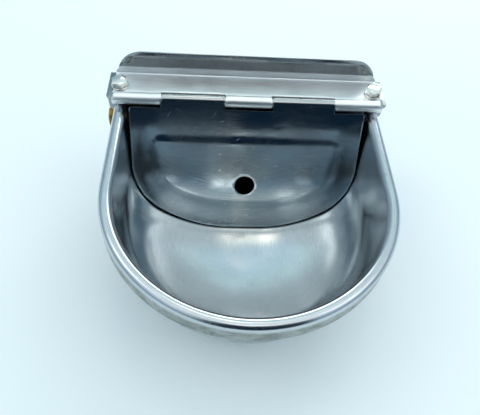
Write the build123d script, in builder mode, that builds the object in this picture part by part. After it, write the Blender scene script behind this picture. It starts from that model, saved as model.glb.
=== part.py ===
from build123d import *
import math
import os

os.makedirs("parts", exist_ok=True)

# Livestock drinking bowl in stainless sheet, hung on a wall by its back plate.
# Millimetres. +Z is up, +Y points at the wall, +X is to the right for someone facing the bowl.
# The origin is midway between the two wall holes, on the rear face of the back plate.

# ---------------------------------------------------------------- driving sizes
# drawn basin
basin_sheet = 1.2          # basin wall
inside_half = 113.45       # half width inside, at the rim
rim_radius = 5.55          # outside radius of the rolled rim
rim_level = 13.5           # height of the roll's centre
skirt_drop = 14.5          # turned-down skirt below the roll's centre
wall_draft = 3.0           # degrees
wall_drop = 45.5           # roll's centre to the start of the bottom curve
basin_depth = 108.0        # roll's centre to the inside floor
corner_share = 0.896       # corner radius over the height of the bottom curve
floor_half = 15.0          # half width of the flat strip that the bowl stands on
run_back = 129.5           # centre of the half-round front to the wall

# back plate
plate_sheet = 1.5
plate_setback = 1.05       # plate's side in from the rim's outside
plate_top = 50.0
plate_shoulder = -6.0      # where the wide part ends
plate_corner = 25.0
shoulder_corner = 7.5
weld_land = 2.0
wall_hole_pitch = 120.0
wall_hole_radius = 4.5

# hinge
hinge_y = -35.5
pin_radius = 4.0
running_fit = 0.05         # radial, curl on pin
pin_setback = 0.4          # pin's end in from the knuckle's
pin_chamfer = 0.5
hinge_sheet = 1.5
bracket_overhang = 0.45    # bracket's end past the rim's outside
knuckle_gap = 0.4          # rim's top to the knuckles
knuckle_width = 43.5
side_play = 0.75           # curl to knuckle, each end
shelf_rise = 1.1           # underside of the shelf above the pin's centre line
edge_gap = 1.05            # shelf edge and lid edge from the curls
flange_height = 6.8        # above the shelf
flange_setback = 2.0       # flange's end in from the shelf's
flange_corner = 4.0
seam_angle = 40.0          # degrees, where a knuckle closes on the shelf
seam_depth = 1.8
seam_width = 0.5

# ears
finger_gap = 0.5           # knuckle end to the ear's finger
ear_lap = 1.45             # how far the ear reaches in over the wall
ear_finger = 5.0
ear_front = 2.0            # finger tip in front of the pin's centre line
leg_setback = 5.7          # leg's front face behind the pin, where the rolled rim ends
leg_gap = 0.15             # leg to the basin's wall
leg_corner = 6.0

# bracket fastenings, M8
bolt_setback = 14.0        # behind the pin
bolt_gap = 0.65            # bolt to the basin's wall
bolt_radius = 4.0
bolt_hole = 4.5
head_flats = 13.0
head_height = 5.3
bolt_length = 16.0
washer_radius = 8.0
washer_sheet = 1.6
washer_play = 0.2
nut_height = 6.5

# lid
lid_sheet = 1.5
lid_angle = 65.0           # degrees below the horizontal, hanging shut
lid_side_gap = 1.2
lid_floor_gap = 1.2
panel_inset = 14.5         # foot of the pressed panel from the lid's edge
panel_slope = 9.5          # width of the sloping border
panel_rise = 2.6
panel_top = 31.0           # from the pin's centre line along the lid
panel_corner = 4.0         # upper corners of the crest
finger_hole = 10.0         # radius
finger_hole_at = 83.0

# float valve, along X from its flange face
inlet_y = -21.2
inlet_z = -12.0
inlet_play = 0.3           # thread in the wall's hole
thread_radius = 10.48      # G1/2
thread_free = 12.7         # thread that stands out of the backnut
thread_lead = 1.0          # chamfer on its end
backnut_flats = 27.0
backnut_height = 6.0
backnut_room = 1.0         # backnut's corner to the ear's leg
relief_width = 1.0         # thread relief just outside the backnut
relief_depth = 0.8
relief_gap = 0.2
seal_radius = 14.0
seal_inside = 3.0
seal_outside = 2.3
flange_lap = 1.0           # flange past the seal
flange_sheet = 3.0
body_radius = 8.5
body_length = 33.5
bore_radius = 6.0
mouth_depth = 14.0         # wide bore at the thread's end
neck_bore = 4.0
seat_in = 9.5
nozzle_length = 4.0
nozzle_bore = 5.0          # pocket that the nozzle is pressed into
nozzle_hole = 1.8
nozzle_face = 3.2
nozzle_cone = 0.9
spout_in = 11.7
spout_radius = 4.0
spout_bore = 2.5
spout_length = 9.0
spout_root = 0.6           # spout's root below the bore
cap_height = 4.5
cap_lap = 0.6
cap_plug = 2.0
plug_play = 0.1
flute_count = 24
flute = 0.7

# lever's cheeks and pin
pivot_in = 21.0
lever_drop = 15.0          # pivot below the piston's centre line
cheek_half = 3.1
cheek_sheet = 2.0
cheek_radius = 4.6
cheek_bite = 0.3           # cheek's root below the bore
pivot_radius = 1.5
pivot_stand = 1.2          # pin past each cheek
eye_radius = 2.8
eye_hole = 1.3
eye_sheet = 1.6
eye_bite = 0.8             # how far the eye's ring overlaps the pin's end

# piston
slide_fit = 0.05
shut_gap = 0.3             # washer to nozzle with the float right up
piston_gap = 2.4           # piston's end to the cap, float down
disc_radius = 4.5
disc_sheet = 2.0
disc_lip = 0.6             # washer proud of the piston
slot_play = 0.35

# lever, arm and float
lever_travel = 15.0        # degrees
lever_play = 0.4
boss_radius = 4.2
tip_radius = 2.0
arm_length = 120.0         # pivot to the middle of the float
arm_radius = 2.5
arm_root = 3.4
arm_bend_start = 22.0
arm_bend_end = 46.0
arm_bend_radius = 18.0
arm_in_float = 12.0
float_radius = 22.0
float_length = 76.0
float_y = -27.5
float_round = 12.0         # radius at each end
float_neck = 4.0           # boss that the nut bears on
neck_radius = 7.0
seam_half = 1.2            # welded seam round the middle
seam_proud = 0.8
socket_depth = 12.5
arm_nut_flats = 10.0
arm_nut_height = 4.0

# ---------------------------------------------------------------- worked-out sizes
sd, cd = math.sin(math.radians(wall_draft)), math.cos(math.radians(wall_draft))
corner_radius = corner_share * (basin_depth - wall_drop)
roll_inner = rim_radius - basin_sheet
rim_x = inside_half + rim_radius
rim_out = rim_x + rim_radius
skirt_foot = rim_level - skirt_drop
round_start = rim_level - wall_drop
floor_z = rim_level - basin_depth
front_y = -run_back

knuckle_radius = pin_radius + running_fit + hinge_sheet
curl_radius = pin_radius + running_fit + lid_sheet
hinge_z = rim_level + rim_radius + knuckle_gap + knuckle_radius
cut_edge = knuckle_radius + edge_gap
bracket_half = rim_out + bracket_overhang
flange_half = bracket_half - flange_setback
plate_half = rim_out - plate_setback
ear_half = bracket_half + finger_gap + ear_finger
ear_inner = inside_half - ear_lap
leg_face = hinge_y + leg_setback
bolt_x = inside_half + basin_sheet + bolt_gap + bolt_radius
bolt_y = hinge_y + bolt_setback


def wall_x(z):
    """Inside face of the basin's side wall at a height."""
    return rim_x - rim_radius * cd - (rim_level + rim_radius * sd - z) * sd / cd


def round_bottom(half, start, end, radius, turn):
    """Centres and radii of the two arcs from a side, drafted by turn degrees, to the flat."""
    st, ct = math.sin(math.radians(turn)), math.cos(math.radians(turn))
    p = half - floor_half - radius * ct
    q = start - end - radius * (1 - st)
    phi = 90.0 - 2.0 * math.degrees(math.atan2(q, p))
    big = radius + p / math.cos(math.radians(phi))
    c2 = (half - radius * ct, start + radius * st)
    c1 = (floor_half, end + big)
    return c2, c1, big, phi


c2, c1, big_radius, phi = round_bottom(wall_x(round_start), round_start, floor_z, corner_radius, wall_draft)
wall_in = (rim_x - rim_radius * cd, rim_level + rim_radius * sd)
wall_out = (rim_x - roll_inner * cd, rim_level + roll_inner * sd)
low_in = (c2[0] + corner_radius * cd, c2[1] - corner_radius * sd)
low_out = (c2[0] + (corner_radius + basin_sheet) * cd, c2[1] - (corner_radius + basin_sheet) * sd)

# ---------------------------------------------------------------- basin
with BuildSketch() as wall_section:
    with BuildLine():
        Line(wall_in, low_in)
        CenterArc(c2, corner_radius, -wall_draft, -(phi - wall_draft))
        CenterArc(c1, big_radius, -phi, -(90 - phi))
        Polyline((floor_half, floor_z), (0, floor_z), (0, floor_z - basin_sheet),
                 (floor_half, floor_z - basin_sheet))
        CenterArc(c1, big_radius + basin_sheet, -90, 90 - phi)
        CenterArc(c2, corner_radius + basin_sheet, -phi, phi - wall_draft)
        Line(low_out, wall_out)
        Line(wall_out, wall_in)
    make_face()

with BuildSketch() as rim_section:
    with BuildLine():
        Line((rim_x + rim_radius, skirt_foot), (rim_x + rim_radius, rim_level))
        CenterArc((rim_x, rim_level), rim_radius, 0, 180 - wall_draft)
        Line(wall_in, wall_out)
        CenterArc((rim_x, rim_level), roll_inner, 180 - wall_draft, -(180 - wall_draft))
        Line((rim_x + roll_inner, rim_level), (rim_x + roll_inner, skirt_foot))
        Line((rim_x + roll_inner, skirt_foot), (rim_x + rim_radius, skirt_foot))
    make_face()

with BuildPart() as basin:
    # half-round front
    with BuildSketch(Plane.XZ.offset(run_back)):
        add(wall_section.sketch)
        add(rim_section.sketch)
    revolve(axis=Axis((0, front_y, 0), (0, 0, -1)), revolution_arc=180)
    # straight sides with the rolled rim, as far as the ears
    with BuildSketch(Plane.XZ.offset(run_back)):
        add(wall_section.sketch)
        add(rim_section.sketch)
        mirror(about=Plane.YZ)
    extrude(amount=-(run_back + leg_face))
    # plain wall behind the ears, up to the back plate
    with BuildSketch(Plane.XZ.offset(-leg_face)):
        add(wall_section.sketch)
        mirror(about=Plane.YZ)
    extrude(amount=leg_face + plate_sheet)
    # hole for the inlet
    with Locations((-inside_half, inlet_y, inlet_z)):
        Cylinder(thread_radius + inlet_play, 6 * rim_radius, rotation=(0, 90, 0), mode=Mode.SUBTRACT)
basin.part.label = "basin"
export_step(basin.part, "parts/basin.step")

# ---------------------------------------------------------------- back plate
with BuildPart() as back_plate:
    with BuildSketch(Plane.XZ):
        with BuildLine():
            Line((0, floor_z - basin_sheet), (floor_half, floor_z - basin_sheet))
            CenterArc(c1, big_radius + basin_sheet, -90, 90 - phi)
            CenterArc(c2, corner_radius + basin_sheet, -phi, phi - wall_draft)
            Polyline(low_out, wall_out, (0, wall_out[1]), (0, floor_z - basin_sheet))
        make_face()
        mirror(about=Plane.YZ)
        offset(amount=weld_land)
        with Locations((0, (plate_top + plate_shoulder) / 2)):
            RectangleRounded(2 * plate_half, plate_top - plate_shoulder, shoulder_corner)
        with Locations((0, plate_top - plate_corner)):
            Rectangle(3 * plate_half, 2 * plate_corner, align=(Align.CENTER, Align.MIN),
                      mode=Mode.SUBTRACT)
            Rectangle(2 * (plate_half - plate_corner), plate_corner, align=(Align.CENTER, Align.MIN))
        with Locations((plate_half - plate_corner, plate_top - plate_corner),
                       (plate_corner - plate_half, plate_top - plate_corner)):
            Circle(plate_corner)
        with Locations((0, floor_z - basin_sheet)):
            Rectangle(3 * plate_half, corner_radius, align=(Align.CENTER, Align.MAX), mode=Mode.SUBTRACT)
        with Locations((-wall_hole_pitch / 2, 0), (wall_hole_pitch / 2, 0)):
            Circle(wall_hole_radius, mode=Mode.SUBTRACT)
    extrude(amount=plate_sheet)
back_plate.part.label = "back_plate"
export_step(back_plate.part, "parts/back_plate.step")

# ---------------------------------------------------------------- ears
shelf_under = hinge_z + shelf_rise
shelf_top = shelf_under + hinge_sheet
ear_under = shelf_under - plate_sheet
leg_foot = inlet_z + backnut_flats / math.sqrt(3) + backnut_room
leg_inner = wall_out[0] + leg_gap
ear_depth = -leg_face - plate_sheet

with BuildPart() as right_ear:
    with BuildSketch(Plane.XY.offset(ear_under)):
        with Locations((ear_half, -plate_sheet)):
            Rectangle(ear_half - ear_inner, ear_depth, align=(Align.MAX, Align.MAX))
        with Locations((ear_half, leg_face)):
            Rectangle(ear_finger, leg_face - hinge_y + ear_front, align=(Align.MAX, Align.MAX))
        with Locations((bolt_x, bolt_y)):
            Circle(bolt_hole, mode=Mode.SUBTRACT)
    extrude(amount=plate_sheet)
    front_corners = right_ear.edges().filter_by(Axis.Z).sort_by(Axis.Y)[0:2].sort_by(Axis.X)
    fillet(front_corners[1], ear_finger * 0.8)
    with BuildSketch(Plane.XZ.offset(-leg_face)):
        with Locations((leg_inner, leg_foot)):
            Rectangle(ear_half - leg_inner, ear_under - leg_foot, align=(Align.MIN, Align.MIN))
    extrude(amount=-plate_sheet)
    outer_foot = right_ear.edges().filter_by(Axis.Y).filter_by(
        lambda e: abs(e.center().Z - leg_foot) < 0.01).sort_by(Axis.X)[-1]
    fillet(outer_foot, min(leg_corner, (ear_half - leg_inner) / 2))
right_ear.part.label = "right_ear"
export_step(right_ear.part, "parts/right_ear.step")

with BuildPart() as left_ear:
    mirror(right_ear.part, about=Plane.YZ)
left_ear.part.label = "left_ear"
export_step(left_ear.part, "parts/left_ear.step")

# ---------------------------------------------------------------- hinge bracket
tongue_y = hinge_y + cut_edge
bend = hinge_sheet         # inside radius of the shelf's bend
bend_y = -plate_sheet - hinge_sheet - bend
knuckle_starts = (-bracket_half, -knuckle_width / 2, bracket_half - knuckle_width)
seam_y = hinge_y + knuckle_radius * math.cos(math.radians(seam_angle))
seam_z = hinge_z + knuckle_radius * math.sin(math.radians(seam_angle))

with BuildPart() as hinge_bracket:
    # shelf with its bend up against the back plate
    with BuildSketch(Plane.YZ):
        with BuildLine():
            Line((tongue_y, shelf_under), (bend_y, shelf_under))
            CenterArc((bend_y, shelf_top + bend), bend + hinge_sheet, -90, 90)
            Line((-plate_sheet, shelf_top + bend), (-plate_sheet - hinge_sheet, shelf_top + bend))
            CenterArc((bend_y, shelf_top + bend), bend, 0, -90)
            Line((bend_y, shelf_top), (tongue_y, shelf_top))
            Line((tongue_y, shelf_top), (tongue_y, shelf_under))
        make_face()
    extrude(amount=bracket_half, both=True)
    # upright flange with rounded ends
    with BuildSketch(Plane.XZ.offset(plate_sheet)) as flange_outline:
        with Locations((0, shelf_top + bend)):
            Rectangle(2 * flange_half, flange_height - bend, align=(Align.CENTER, Align.MIN))
        flange_round = min(flange_corner, 0.8 * (flange_height - bend))
        fillet(flange_outline.vertices().group_by(Axis.Y)[-1], flange_round)
    extrude(amount=hinge_sheet)
    # three knuckles rolled round the pin, each closing on the shelf with a seam
    for start in knuckle_starts:
        with BuildSketch(Plane.YZ.offset(start)):
            with Locations((hinge_y, shelf_under)):
                Rectangle(cut_edge + seam_width, hinge_sheet, align=(Align.MIN, Align.MIN))
            with Locations((hinge_y, hinge_z)):
                Circle(knuckle_radius)
                Circle(pin_radius + running_fit, mode=Mode.SUBTRACT)
            with Locations((seam_y, seam_z)):
                Rectangle(seam_depth, seam_width, rotation=seam_angle, mode=Mode.SUBTRACT)
        extrude(amount=knuckle_width)
    with Locations((-bolt_x, bolt_y, shelf_top), (bolt_x, bolt_y, shelf_top)):
        Cylinder(bolt_hole, 4 * hinge_sheet, mode=Mode.SUBTRACT)
hinge_bracket.part.label = "hinge_bracket"
export_step(hinge_bracket.part, "parts/hinge_bracket.step")

with BuildPart() as hinge_pin:
    with Locations((0, hinge_y, hinge_z)):
        Cylinder(pin_radius, 2 * (bracket_half - pin_setback), rotation=(0, 90, 0))
    chamfer(hinge_pin.edges().filter_by(GeomType.CIRCLE), pin_chamfer)
hinge_pin.part.label = "hinge_pin"
export_step(hinge_pin.part, "parts/hinge_pin.step")

# ---------------------------------------------------------------- bracket fastenings
seat_z = shelf_top + washer_sheet
bolt_places = ((-bolt_x, bolt_y), (bolt_x, bolt_y))
head_round = 0.6 * head_flats
head_crown = 0.46 * head_flats

with BuildPart() as one_bolt:
    with BuildSketch(Plane.XY.offset(seat_z)):
        RegularPolygon(head_flats / 2, 6, major_radius=False, rotation=30)
    extrude(amount=head_height)
    with BuildSketch(Plane.XZ):
        with BuildLine():
            Polyline((0, seat_z), (head_round, seat_z), (head_round, seat_z + 0.82 * head_height),
                     (head_crown, seat_z + head_height), (0, seat_z + head_height), close=True)
        make_face()
    revolve(axis=Axis.Z, mode=Mode.INTERSECT)
    with BuildSketch(Plane.XY.offset(seat_z)):
        Circle(bolt_radius)
    extrude(amount=-bolt_length)

with BuildPart() as bracket_bolts:
    with Locations(*bolt_places):
        add(one_bolt.part)
bracket_bolts.part.label = "bracket_bolts"
export_step(bracket_bolts.part, "parts/bracket_bolts.step")

with BuildPart() as bolt_washers:
    with BuildSketch(Plane.XY.offset(shelf_top)):
        with Locations(*bolt_places):
            Circle(washer_radius)
            Circle(bolt_radius + washer_play, mode=Mode.SUBTRACT)
    extrude(amount=washer_sheet)
bolt_washers.part.label = "bolt_washers"
export_step(bolt_washers.part, "parts/bolt_washers.step")

with BuildPart() as bolt_nuts:
    with BuildSketch(Plane.XY.offset(ear_under)):
        with Locations(*bolt_places):
            RegularPolygon(head_flats / 2, 6, major_radius=False)
            Circle(bolt_radius + running_fit, mode=Mode.SUBTRACT)
    extrude(amount=-nut_height)
bolt_nuts.part.label = "bolt_nuts"
export_step(bolt_nuts.part, "parts/bolt_nuts.step")

# ---------------------------------------------------------------- lid
sa, ca = math.sin(math.radians(lid_angle)), math.cos(math.radians(lid_angle))
lid_half = wall_x(round_start) - lid_side_gap
inner_offset = curl_radius - lid_sheet
lid_reach = (hinge_z - floor_z - lid_floor_gap + inner_offset * ca) / sa
lid_round = (hinge_z - round_start + inner_offset * ca) / sa
lid_plane = Plane(origin=(0, hinge_y - curl_radius * sa, hinge_z + curl_radius * ca),
                  x_dir=(1, 0, 0), z_dir=(0, -sa, ca))
l2, l1, lid_big, lid_phi = round_bottom(lid_half, -lid_round, -lid_reach, corner_radius, 0.0)
curl_in = knuckle_width / 2 + side_play
curl_out = bracket_half - knuckle_width - side_play

with BuildSketch() as lid_blank:
    with BuildLine():
        Polyline((0, -cut_edge), (curl_in, -cut_edge), (curl_in, 0), (curl_out, 0), (curl_out, -cut_edge),
                 (lid_half, -cut_edge), (lid_half, -lid_round))
        CenterArc(l2, corner_radius, 0, -lid_phi)
        CenterArc(l1, lid_big, -lid_phi, -(90 - lid_phi))
        Polyline((floor_half, -lid_reach), (0, -lid_reach), (0, -cut_edge))
    make_face()
    mirror(about=Plane.YZ)


def panel_half(inset, top, corner):
    """Half outline of the pressed panel, for the line builder that is open."""
    side = lid_half - inset
    Line((0, -top), (side - corner, -top))
    CenterArc((side - corner, -top - corner), corner, 90, -90)
    Line((side, -top - corner), (side, -lid_round))
    CenterArc(l2, corner_radius - inset, 0, -lid_phi)
    CenterArc(l1, lid_big - inset, -lid_phi, -(90 - lid_phi))
    Line((floor_half, -lid_reach + inset), (0, -lid_reach + inset))
    Line((0, -lid_reach + inset), (0, -top))


with BuildSketch() as panel_foot:
    with BuildLine():
        panel_half(panel_inset, panel_top, panel_slope + panel_corner)
    make_face()
    mirror(about=Plane.YZ)

with BuildSketch() as panel_crest:
    with BuildLine():
        panel_half(panel_inset + panel_slope, panel_top + panel_slope, panel_corner)
    make_face()
    mirror(about=Plane.YZ)

with BuildPart() as lid:
    with BuildSketch(lid_plane):
        add(lid_blank.sketch)
    extrude(amount=-lid_sheet)
    # pressed panel, raised in front and hollow behind
    with BuildSketch(lid_plane):
        add(panel_foot.sketch)
    with BuildSketch(lid_plane.offset(panel_rise)):
        add(panel_crest.sketch)
    loft(ruled=True)
    with BuildSketch(lid_plane.offset(-lid_sheet)):
        add(panel_foot.sketch)
    with BuildSketch(lid_plane.offset(panel_rise - lid_sheet)):
        add(panel_crest.sketch)
    loft(ruled=True, mode=Mode.SUBTRACT)
    # two curls round the pin
    for start in (-curl_out, curl_in):
        with BuildSketch(Plane.YZ.offset(start)):
            with Locations((hinge_y, hinge_z)):
                Circle(curl_radius)
                Circle(pin_radius + running_fit, mode=Mode.SUBTRACT)
        extrude(amount=curl_out - curl_in)
    # finger hole
    with BuildSketch(lid_plane):
        with Locations((0, -finger_hole_at)):
            Circle(finger_hole)
    extrude(amount=finger_hole, both=True, mode=Mode.SUBTRACT)
lid.part.label = "lid"
export_step(lid.part, "parts/lid.step")

# ---------------------------------------------------------------- float valve, fixed pieces
wall_at = wall_x(inlet_z)
flange_x = -(wall_at - seal_inside)
backnut_x = -(wall_at + basin_sheet / cd + seal_outside)
thread_end = backnut_x - backnut_height - thread_free
relief_x = backnut_x - backnut_height - relief_gap
pivot_x = flange_x + pivot_in
pivot_z = inlet_z - lever_drop
stroke = lever_drop * math.radians(lever_travel)
seat_x = flange_x + seat_in
body_end = flange_x + body_length
disc_x = seat_x + shut_gap + stroke
piston_end = body_end - piston_gap
spout_x = flange_x + spout_in
flange_out = flange_x + flange_sheet
mouth_x = thread_end + mouth_depth
nozzle_x = seat_x - nozzle_length
relief_radius = thread_radius - relief_depth
cheek_top = inlet_z - bore_radius - cheek_bite
spout_top = inlet_z - bore_radius - spout_root
hung = (Align.CENTER, Align.CENTER, Align.MAX)
inlet_axis = Axis((0, inlet_y, inlet_z), (1, 0, 0))
valve_plane = Plane(origin=(0, inlet_y, inlet_z), x_dir=(1, 0, 0), z_dir=(0, -1, 0))

with BuildPart() as valve_body:
    with BuildSketch(valve_plane):
        with BuildLine():
            Polyline((thread_end, bore_radius), (thread_end, thread_radius - thread_lead),
                     (thread_end + thread_lead, thread_radius), (relief_x - relief_width, thread_radius),
                     (relief_x - relief_width, relief_radius), (relief_x, relief_radius),
                     (relief_x, thread_radius), (flange_x, thread_radius),
                     (flange_x, seal_radius + flange_lap), (flange_out, seal_radius + flange_lap),
                     (flange_out, body_radius), (body_end, body_radius), (body_end, bore_radius),
                     (seat_x, bore_radius), (seat_x, nozzle_bore), (nozzle_x, nozzle_bore),
                     (nozzle_x, neck_bore), (mouth_x, neck_bore), (mouth_x, bore_radius), close=True)
        make_face()
    revolve(axis=inlet_axis)
    # cheeks for the lever
    with BuildSketch(Plane.XZ.offset(-inlet_y)):
        with Locations((pivot_x, pivot_z)):
            Circle(cheek_radius)
        with Locations((pivot_x, cheek_top)):
            Rectangle(2 * cheek_radius, cheek_top - pivot_z, align=(Align.CENTER, Align.MAX))
    extrude(amount=cheek_half + cheek_sheet, both=True)
    # room between the cheeks, and the window that the lever's finger works through
    with Locations((pivot_x, inlet_y, inlet_z)):
        Box(2.4 * cheek_radius, 2 * cheek_half, lever_drop + 2 * cheek_radius, align=hung, mode=Mode.SUBTRACT)
    with Locations((pivot_x, inlet_y, pivot_z)):
        Cylinder(pivot_radius + running_fit, 4 * boss_radius, rotation=(90, 0, 0), mode=Mode.SUBTRACT)
    # spout below the seat
    with BuildSketch(Plane.XY.offset(spout_top)):
        with Locations((spout_x, inlet_y)):
            Circle(spout_radius)
    extrude(amount=-spout_length)
    with BuildSketch(Plane.XY.offset(inlet_z)):
        with Locations((spout_x, inlet_y)):
            Circle(spout_bore)
    extrude(amount=-(body_radius + 2 * spout_length), mode=Mode.SUBTRACT)
valve_body.part.label = "valve_body"
export_step(valve_body.part, "parts/valve_body.step")

with BuildPart() as valve_backnut:
    with BuildSketch(Plane.YZ.offset(backnut_x)):
        with Locations((inlet_y, inlet_z)):
            RegularPolygon(backnut_flats / 2, 6, major_radius=False, rotation=30)
            Circle(thread_radius + running_fit, mode=Mode.SUBTRACT)
    extrude(amount=-backnut_height)
valve_backnut.part.label = "valve_backnut"
export_step(valve_backnut.part, "parts/valve_backnut.step")

# the rubber seals take up the draft of the wall between them
seal_top = inlet_z + 1.5 * seal_radius
seal_foot = inlet_z - 1.5 * seal_radius
with BuildPart() as inlet_washers:
    with BuildSketch(Plane.YZ.offset(backnut_x)):
        with Locations((inlet_y, inlet_z)):
            Circle(seal_radius)
            Circle(thread_radius + running_fit, mode=Mode.SUBTRACT)
    extrude(amount=flange_x - backnut_x)
    with BuildSketch(Plane.XZ.offset(-inlet_y)):
        with BuildLine():
            Polyline((-wall_x(seal_top), seal_top), (-wall_x(seal_foot), seal_foot),
                     (-wall_x(seal_foot) - basin_sheet / cd, seal_foot),
                     (-wall_x(seal_top) - basin_sheet / cd, seal_top), close=True)
        make_face()
    extrude(amount=1.5 * seal_radius, both=True, mode=Mode.SUBTRACT)
inlet_washers.part.label = "inlet_washers"
export_step(inlet_washers.part, "parts/inlet_washers.step")

with BuildPart() as valve_nozzle:
    with BuildSketch(valve_plane):
        with BuildLine():
            Polyline((nozzle_x, nozzle_hole), (nozzle_x, nozzle_bore - running_fit),
                     (seat_x - nozzle_cone, nozzle_bore - running_fit), (seat_x, nozzle_face),
                     (seat_x, nozzle_hole), close=True)
        make_face()
    revolve(axis=inlet_axis)
valve_nozzle.part.label = "valve_nozzle"
export_step(valve_nozzle.part, "parts/valve_nozzle.step")

with BuildPart() as valve_cap:
    with BuildSketch(Plane.YZ.offset(body_end)):
        with Locations((inlet_y, inlet_z)):
            Circle(body_radius + cap_lap)
            with PolarLocations(body_radius + cap_lap, flute_count):
                Rectangle(flute, flute, mode=Mode.SUBTRACT)
    extrude(amount=cap_height)
    with BuildSketch(Plane.YZ.offset(body_end)):
        with Locations((inlet_y, inlet_z)):
            Circle(bore_radius - plug_play)
    extrude(amount=-cap_plug)
valve_cap.part.label = "valve_cap"
export_step(valve_cap.part, "parts/valve_cap.step")

pivot_half = cheek_half + cheek_sheet + pivot_stand

with BuildPart() as lever_pin:
    with Locations((pivot_x, inlet_y, pivot_z)):
        Cylinder(pivot_radius, 2 * pivot_half, rotation=(90, 0, 0))
    with BuildSketch(Plane.YZ.offset(pivot_x - eye_sheet / 2)):
        with Locations((inlet_y - pivot_half - eye_radius + eye_bite, pivot_z)):
            Circle(eye_radius)
            Circle(eye_hole, mode=Mode.SUBTRACT)
    extrude(amount=eye_sheet)
lever_pin.part.label = "lever_pin"
export_step(lever_pin.part, "parts/lever_pin.step")

# ---------------------------------------------------------------- piston, slides along X
slot_half = tip_radius + slot_play
lean = math.radians(lever_travel / 2)
tip_x = pivot_x + lever_drop * math.sin(lean)
tip_z = pivot_z + lever_drop * math.cos(lean)

piston_radius = bore_radius - slide_fit

with BuildPart() as valve_piston:
    with BuildSketch(valve_plane):
        with BuildLine():
            Polyline((disc_x + disc_lip, 0), (disc_x + disc_lip, piston_radius),
                     (piston_end, piston_radius), (piston_end, 0), close=True)
        make_face()
    revolve(axis=inlet_axis)
    # seat for the washer, and the slot for the lever's finger
    with Locations((disc_x, inlet_y, inlet_z)):
        Cylinder(disc_radius, 2 * disc_sheet, rotation=(0, 90, 0), mode=Mode.SUBTRACT)
    with Locations((tip_x, inlet_y, inlet_z + 1.5 * tip_radius)):
        Box(2 * slot_half, 2 * cheek_half, 3 * bore_radius, align=hung, mode=Mode.SUBTRACT)
valve_piston.part.label = "valve_piston"
export_step(valve_piston.part, "parts/valve_piston.step")

with BuildPart() as piston_washer:
    with Locations((disc_x + disc_sheet / 2, inlet_y, inlet_z)):
        Cylinder(disc_radius - running_fit, disc_sheet, rotation=(0, 90, 0))
piston_washer.part.label = "piston_washer"
export_step(piston_washer.part, "parts/piston_washer.step")

# ---------------------------------------------------------------- lever, arm and float
rest = math.radians(lever_travel)
along = Vector(math.cos(rest), 0, -math.sin(rest))


def on_arm(distance, y):
    """Point on the arm's line at rest, at a distance from the pivot."""
    return (pivot_x + distance * math.cos(rest), y, pivot_z - distance * math.sin(rest))


float_start = arm_length - float_length / 2

with BuildPart() as float_lever:
    # boss at the pivot, with the finger that works the piston
    with BuildSketch(Plane.XZ.offset(-inlet_y)):
        with Locations((pivot_x, pivot_z)):
            Circle(boss_radius)
        with Locations((tip_x, tip_z)):
            Circle(tip_radius)
        with Locations(((pivot_x + tip_x) / 2, (pivot_z + tip_z) / 2)):
            Rectangle(1.2 * tip_radius, lever_drop, rotation=-lever_travel / 2)
    extrude(amount=cheek_half - lever_play, both=True)
    with Locations((pivot_x, inlet_y, pivot_z)):
        Cylinder(pivot_radius + running_fit, 4 * boss_radius, rotation=(90, 0, 0), mode=Mode.SUBTRACT)
    # arm, set over towards the middle of the chamber
    with BuildLine() as arm_path:
        FilletPolyline(on_arm(arm_root, inlet_y), on_arm(arm_bend_start, inlet_y),
                       on_arm(arm_bend_end, float_y), on_arm(float_start + arm_in_float, float_y),
                       radius=arm_bend_radius)
    with BuildSketch(Plane(origin=on_arm(arm_root, inlet_y), z_dir=along)):
        Circle(arm_radius)
    sweep(path=arm_path.line)
float_lever.part.label = "float_lever"
export_step(float_lever.part, "parts/float_lever.step")

float_plane = Plane(origin=on_arm(float_start, float_y), x_dir=tuple(along), z_dir=(0, -1, 0))
float_axis = Axis(on_arm(float_start, float_y), tuple(along))
middle = float_length / 2
near_round = float_neck + float_round
far_round = float_length - float_round

with BuildPart() as float_body:
    with BuildSketch(float_plane):
        with BuildLine():
            Polyline((float_length, 0), (0, 0), (0, neck_radius), (float_neck, neck_radius),
                     (float_neck, float_radius - float_round))
            CenterArc((near_round, float_radius - float_round), float_round, 180, -90)
            Polyline((near_round, float_radius), (middle - seam_half, float_radius),
                     (middle - seam_half, float_radius + seam_proud),
                     (middle + seam_half, float_radius + seam_proud), (middle + seam_half, float_radius),
                     (far_round, float_radius))
            CenterArc((far_round, float_radius - float_round), float_round, 90, -90)
            Line((float_length, float_radius - float_round), (float_length, 0))
        make_face()
    revolve(axis=float_axis)
    with BuildSketch(Plane(origin=on_arm(float_start, float_y), z_dir=along)):
        Circle(arm_radius + running_fit)
    extrude(amount=socket_depth, mode=Mode.SUBTRACT)
float_body.part.label = "float"
export_step(float_body.part, "parts/float.step")

with BuildPart() as float_nut:
    with BuildSketch(Plane(origin=on_arm(float_start, float_y), x_dir=(0, 1, 0), z_dir=along)):
        RegularPolygon(arm_nut_flats / 2, 6, major_radius=False)
        Circle(arm_radius + running_fit, mode=Mode.SUBTRACT)
    extrude(amount=-arm_nut_height)
float_nut.part.label = "float_nut"
export_step(float_nut.part, "parts/float_nut.step")
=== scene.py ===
# Livestock drinking bowl: finished pieces over the fixed frame, with stage, lamp, room and camera.
# Lengths in the mesh code are millimetres in the bowl's own frame: the origin is midway between
# the wall holes on the rear face of the back plate, +Y goes into the wall and +Z is up.
import bpy
import bmesh
import math
from mathutils import Matrix, Vector, noise
from mathutils.geometry import delaunay_2d_cdt


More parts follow.
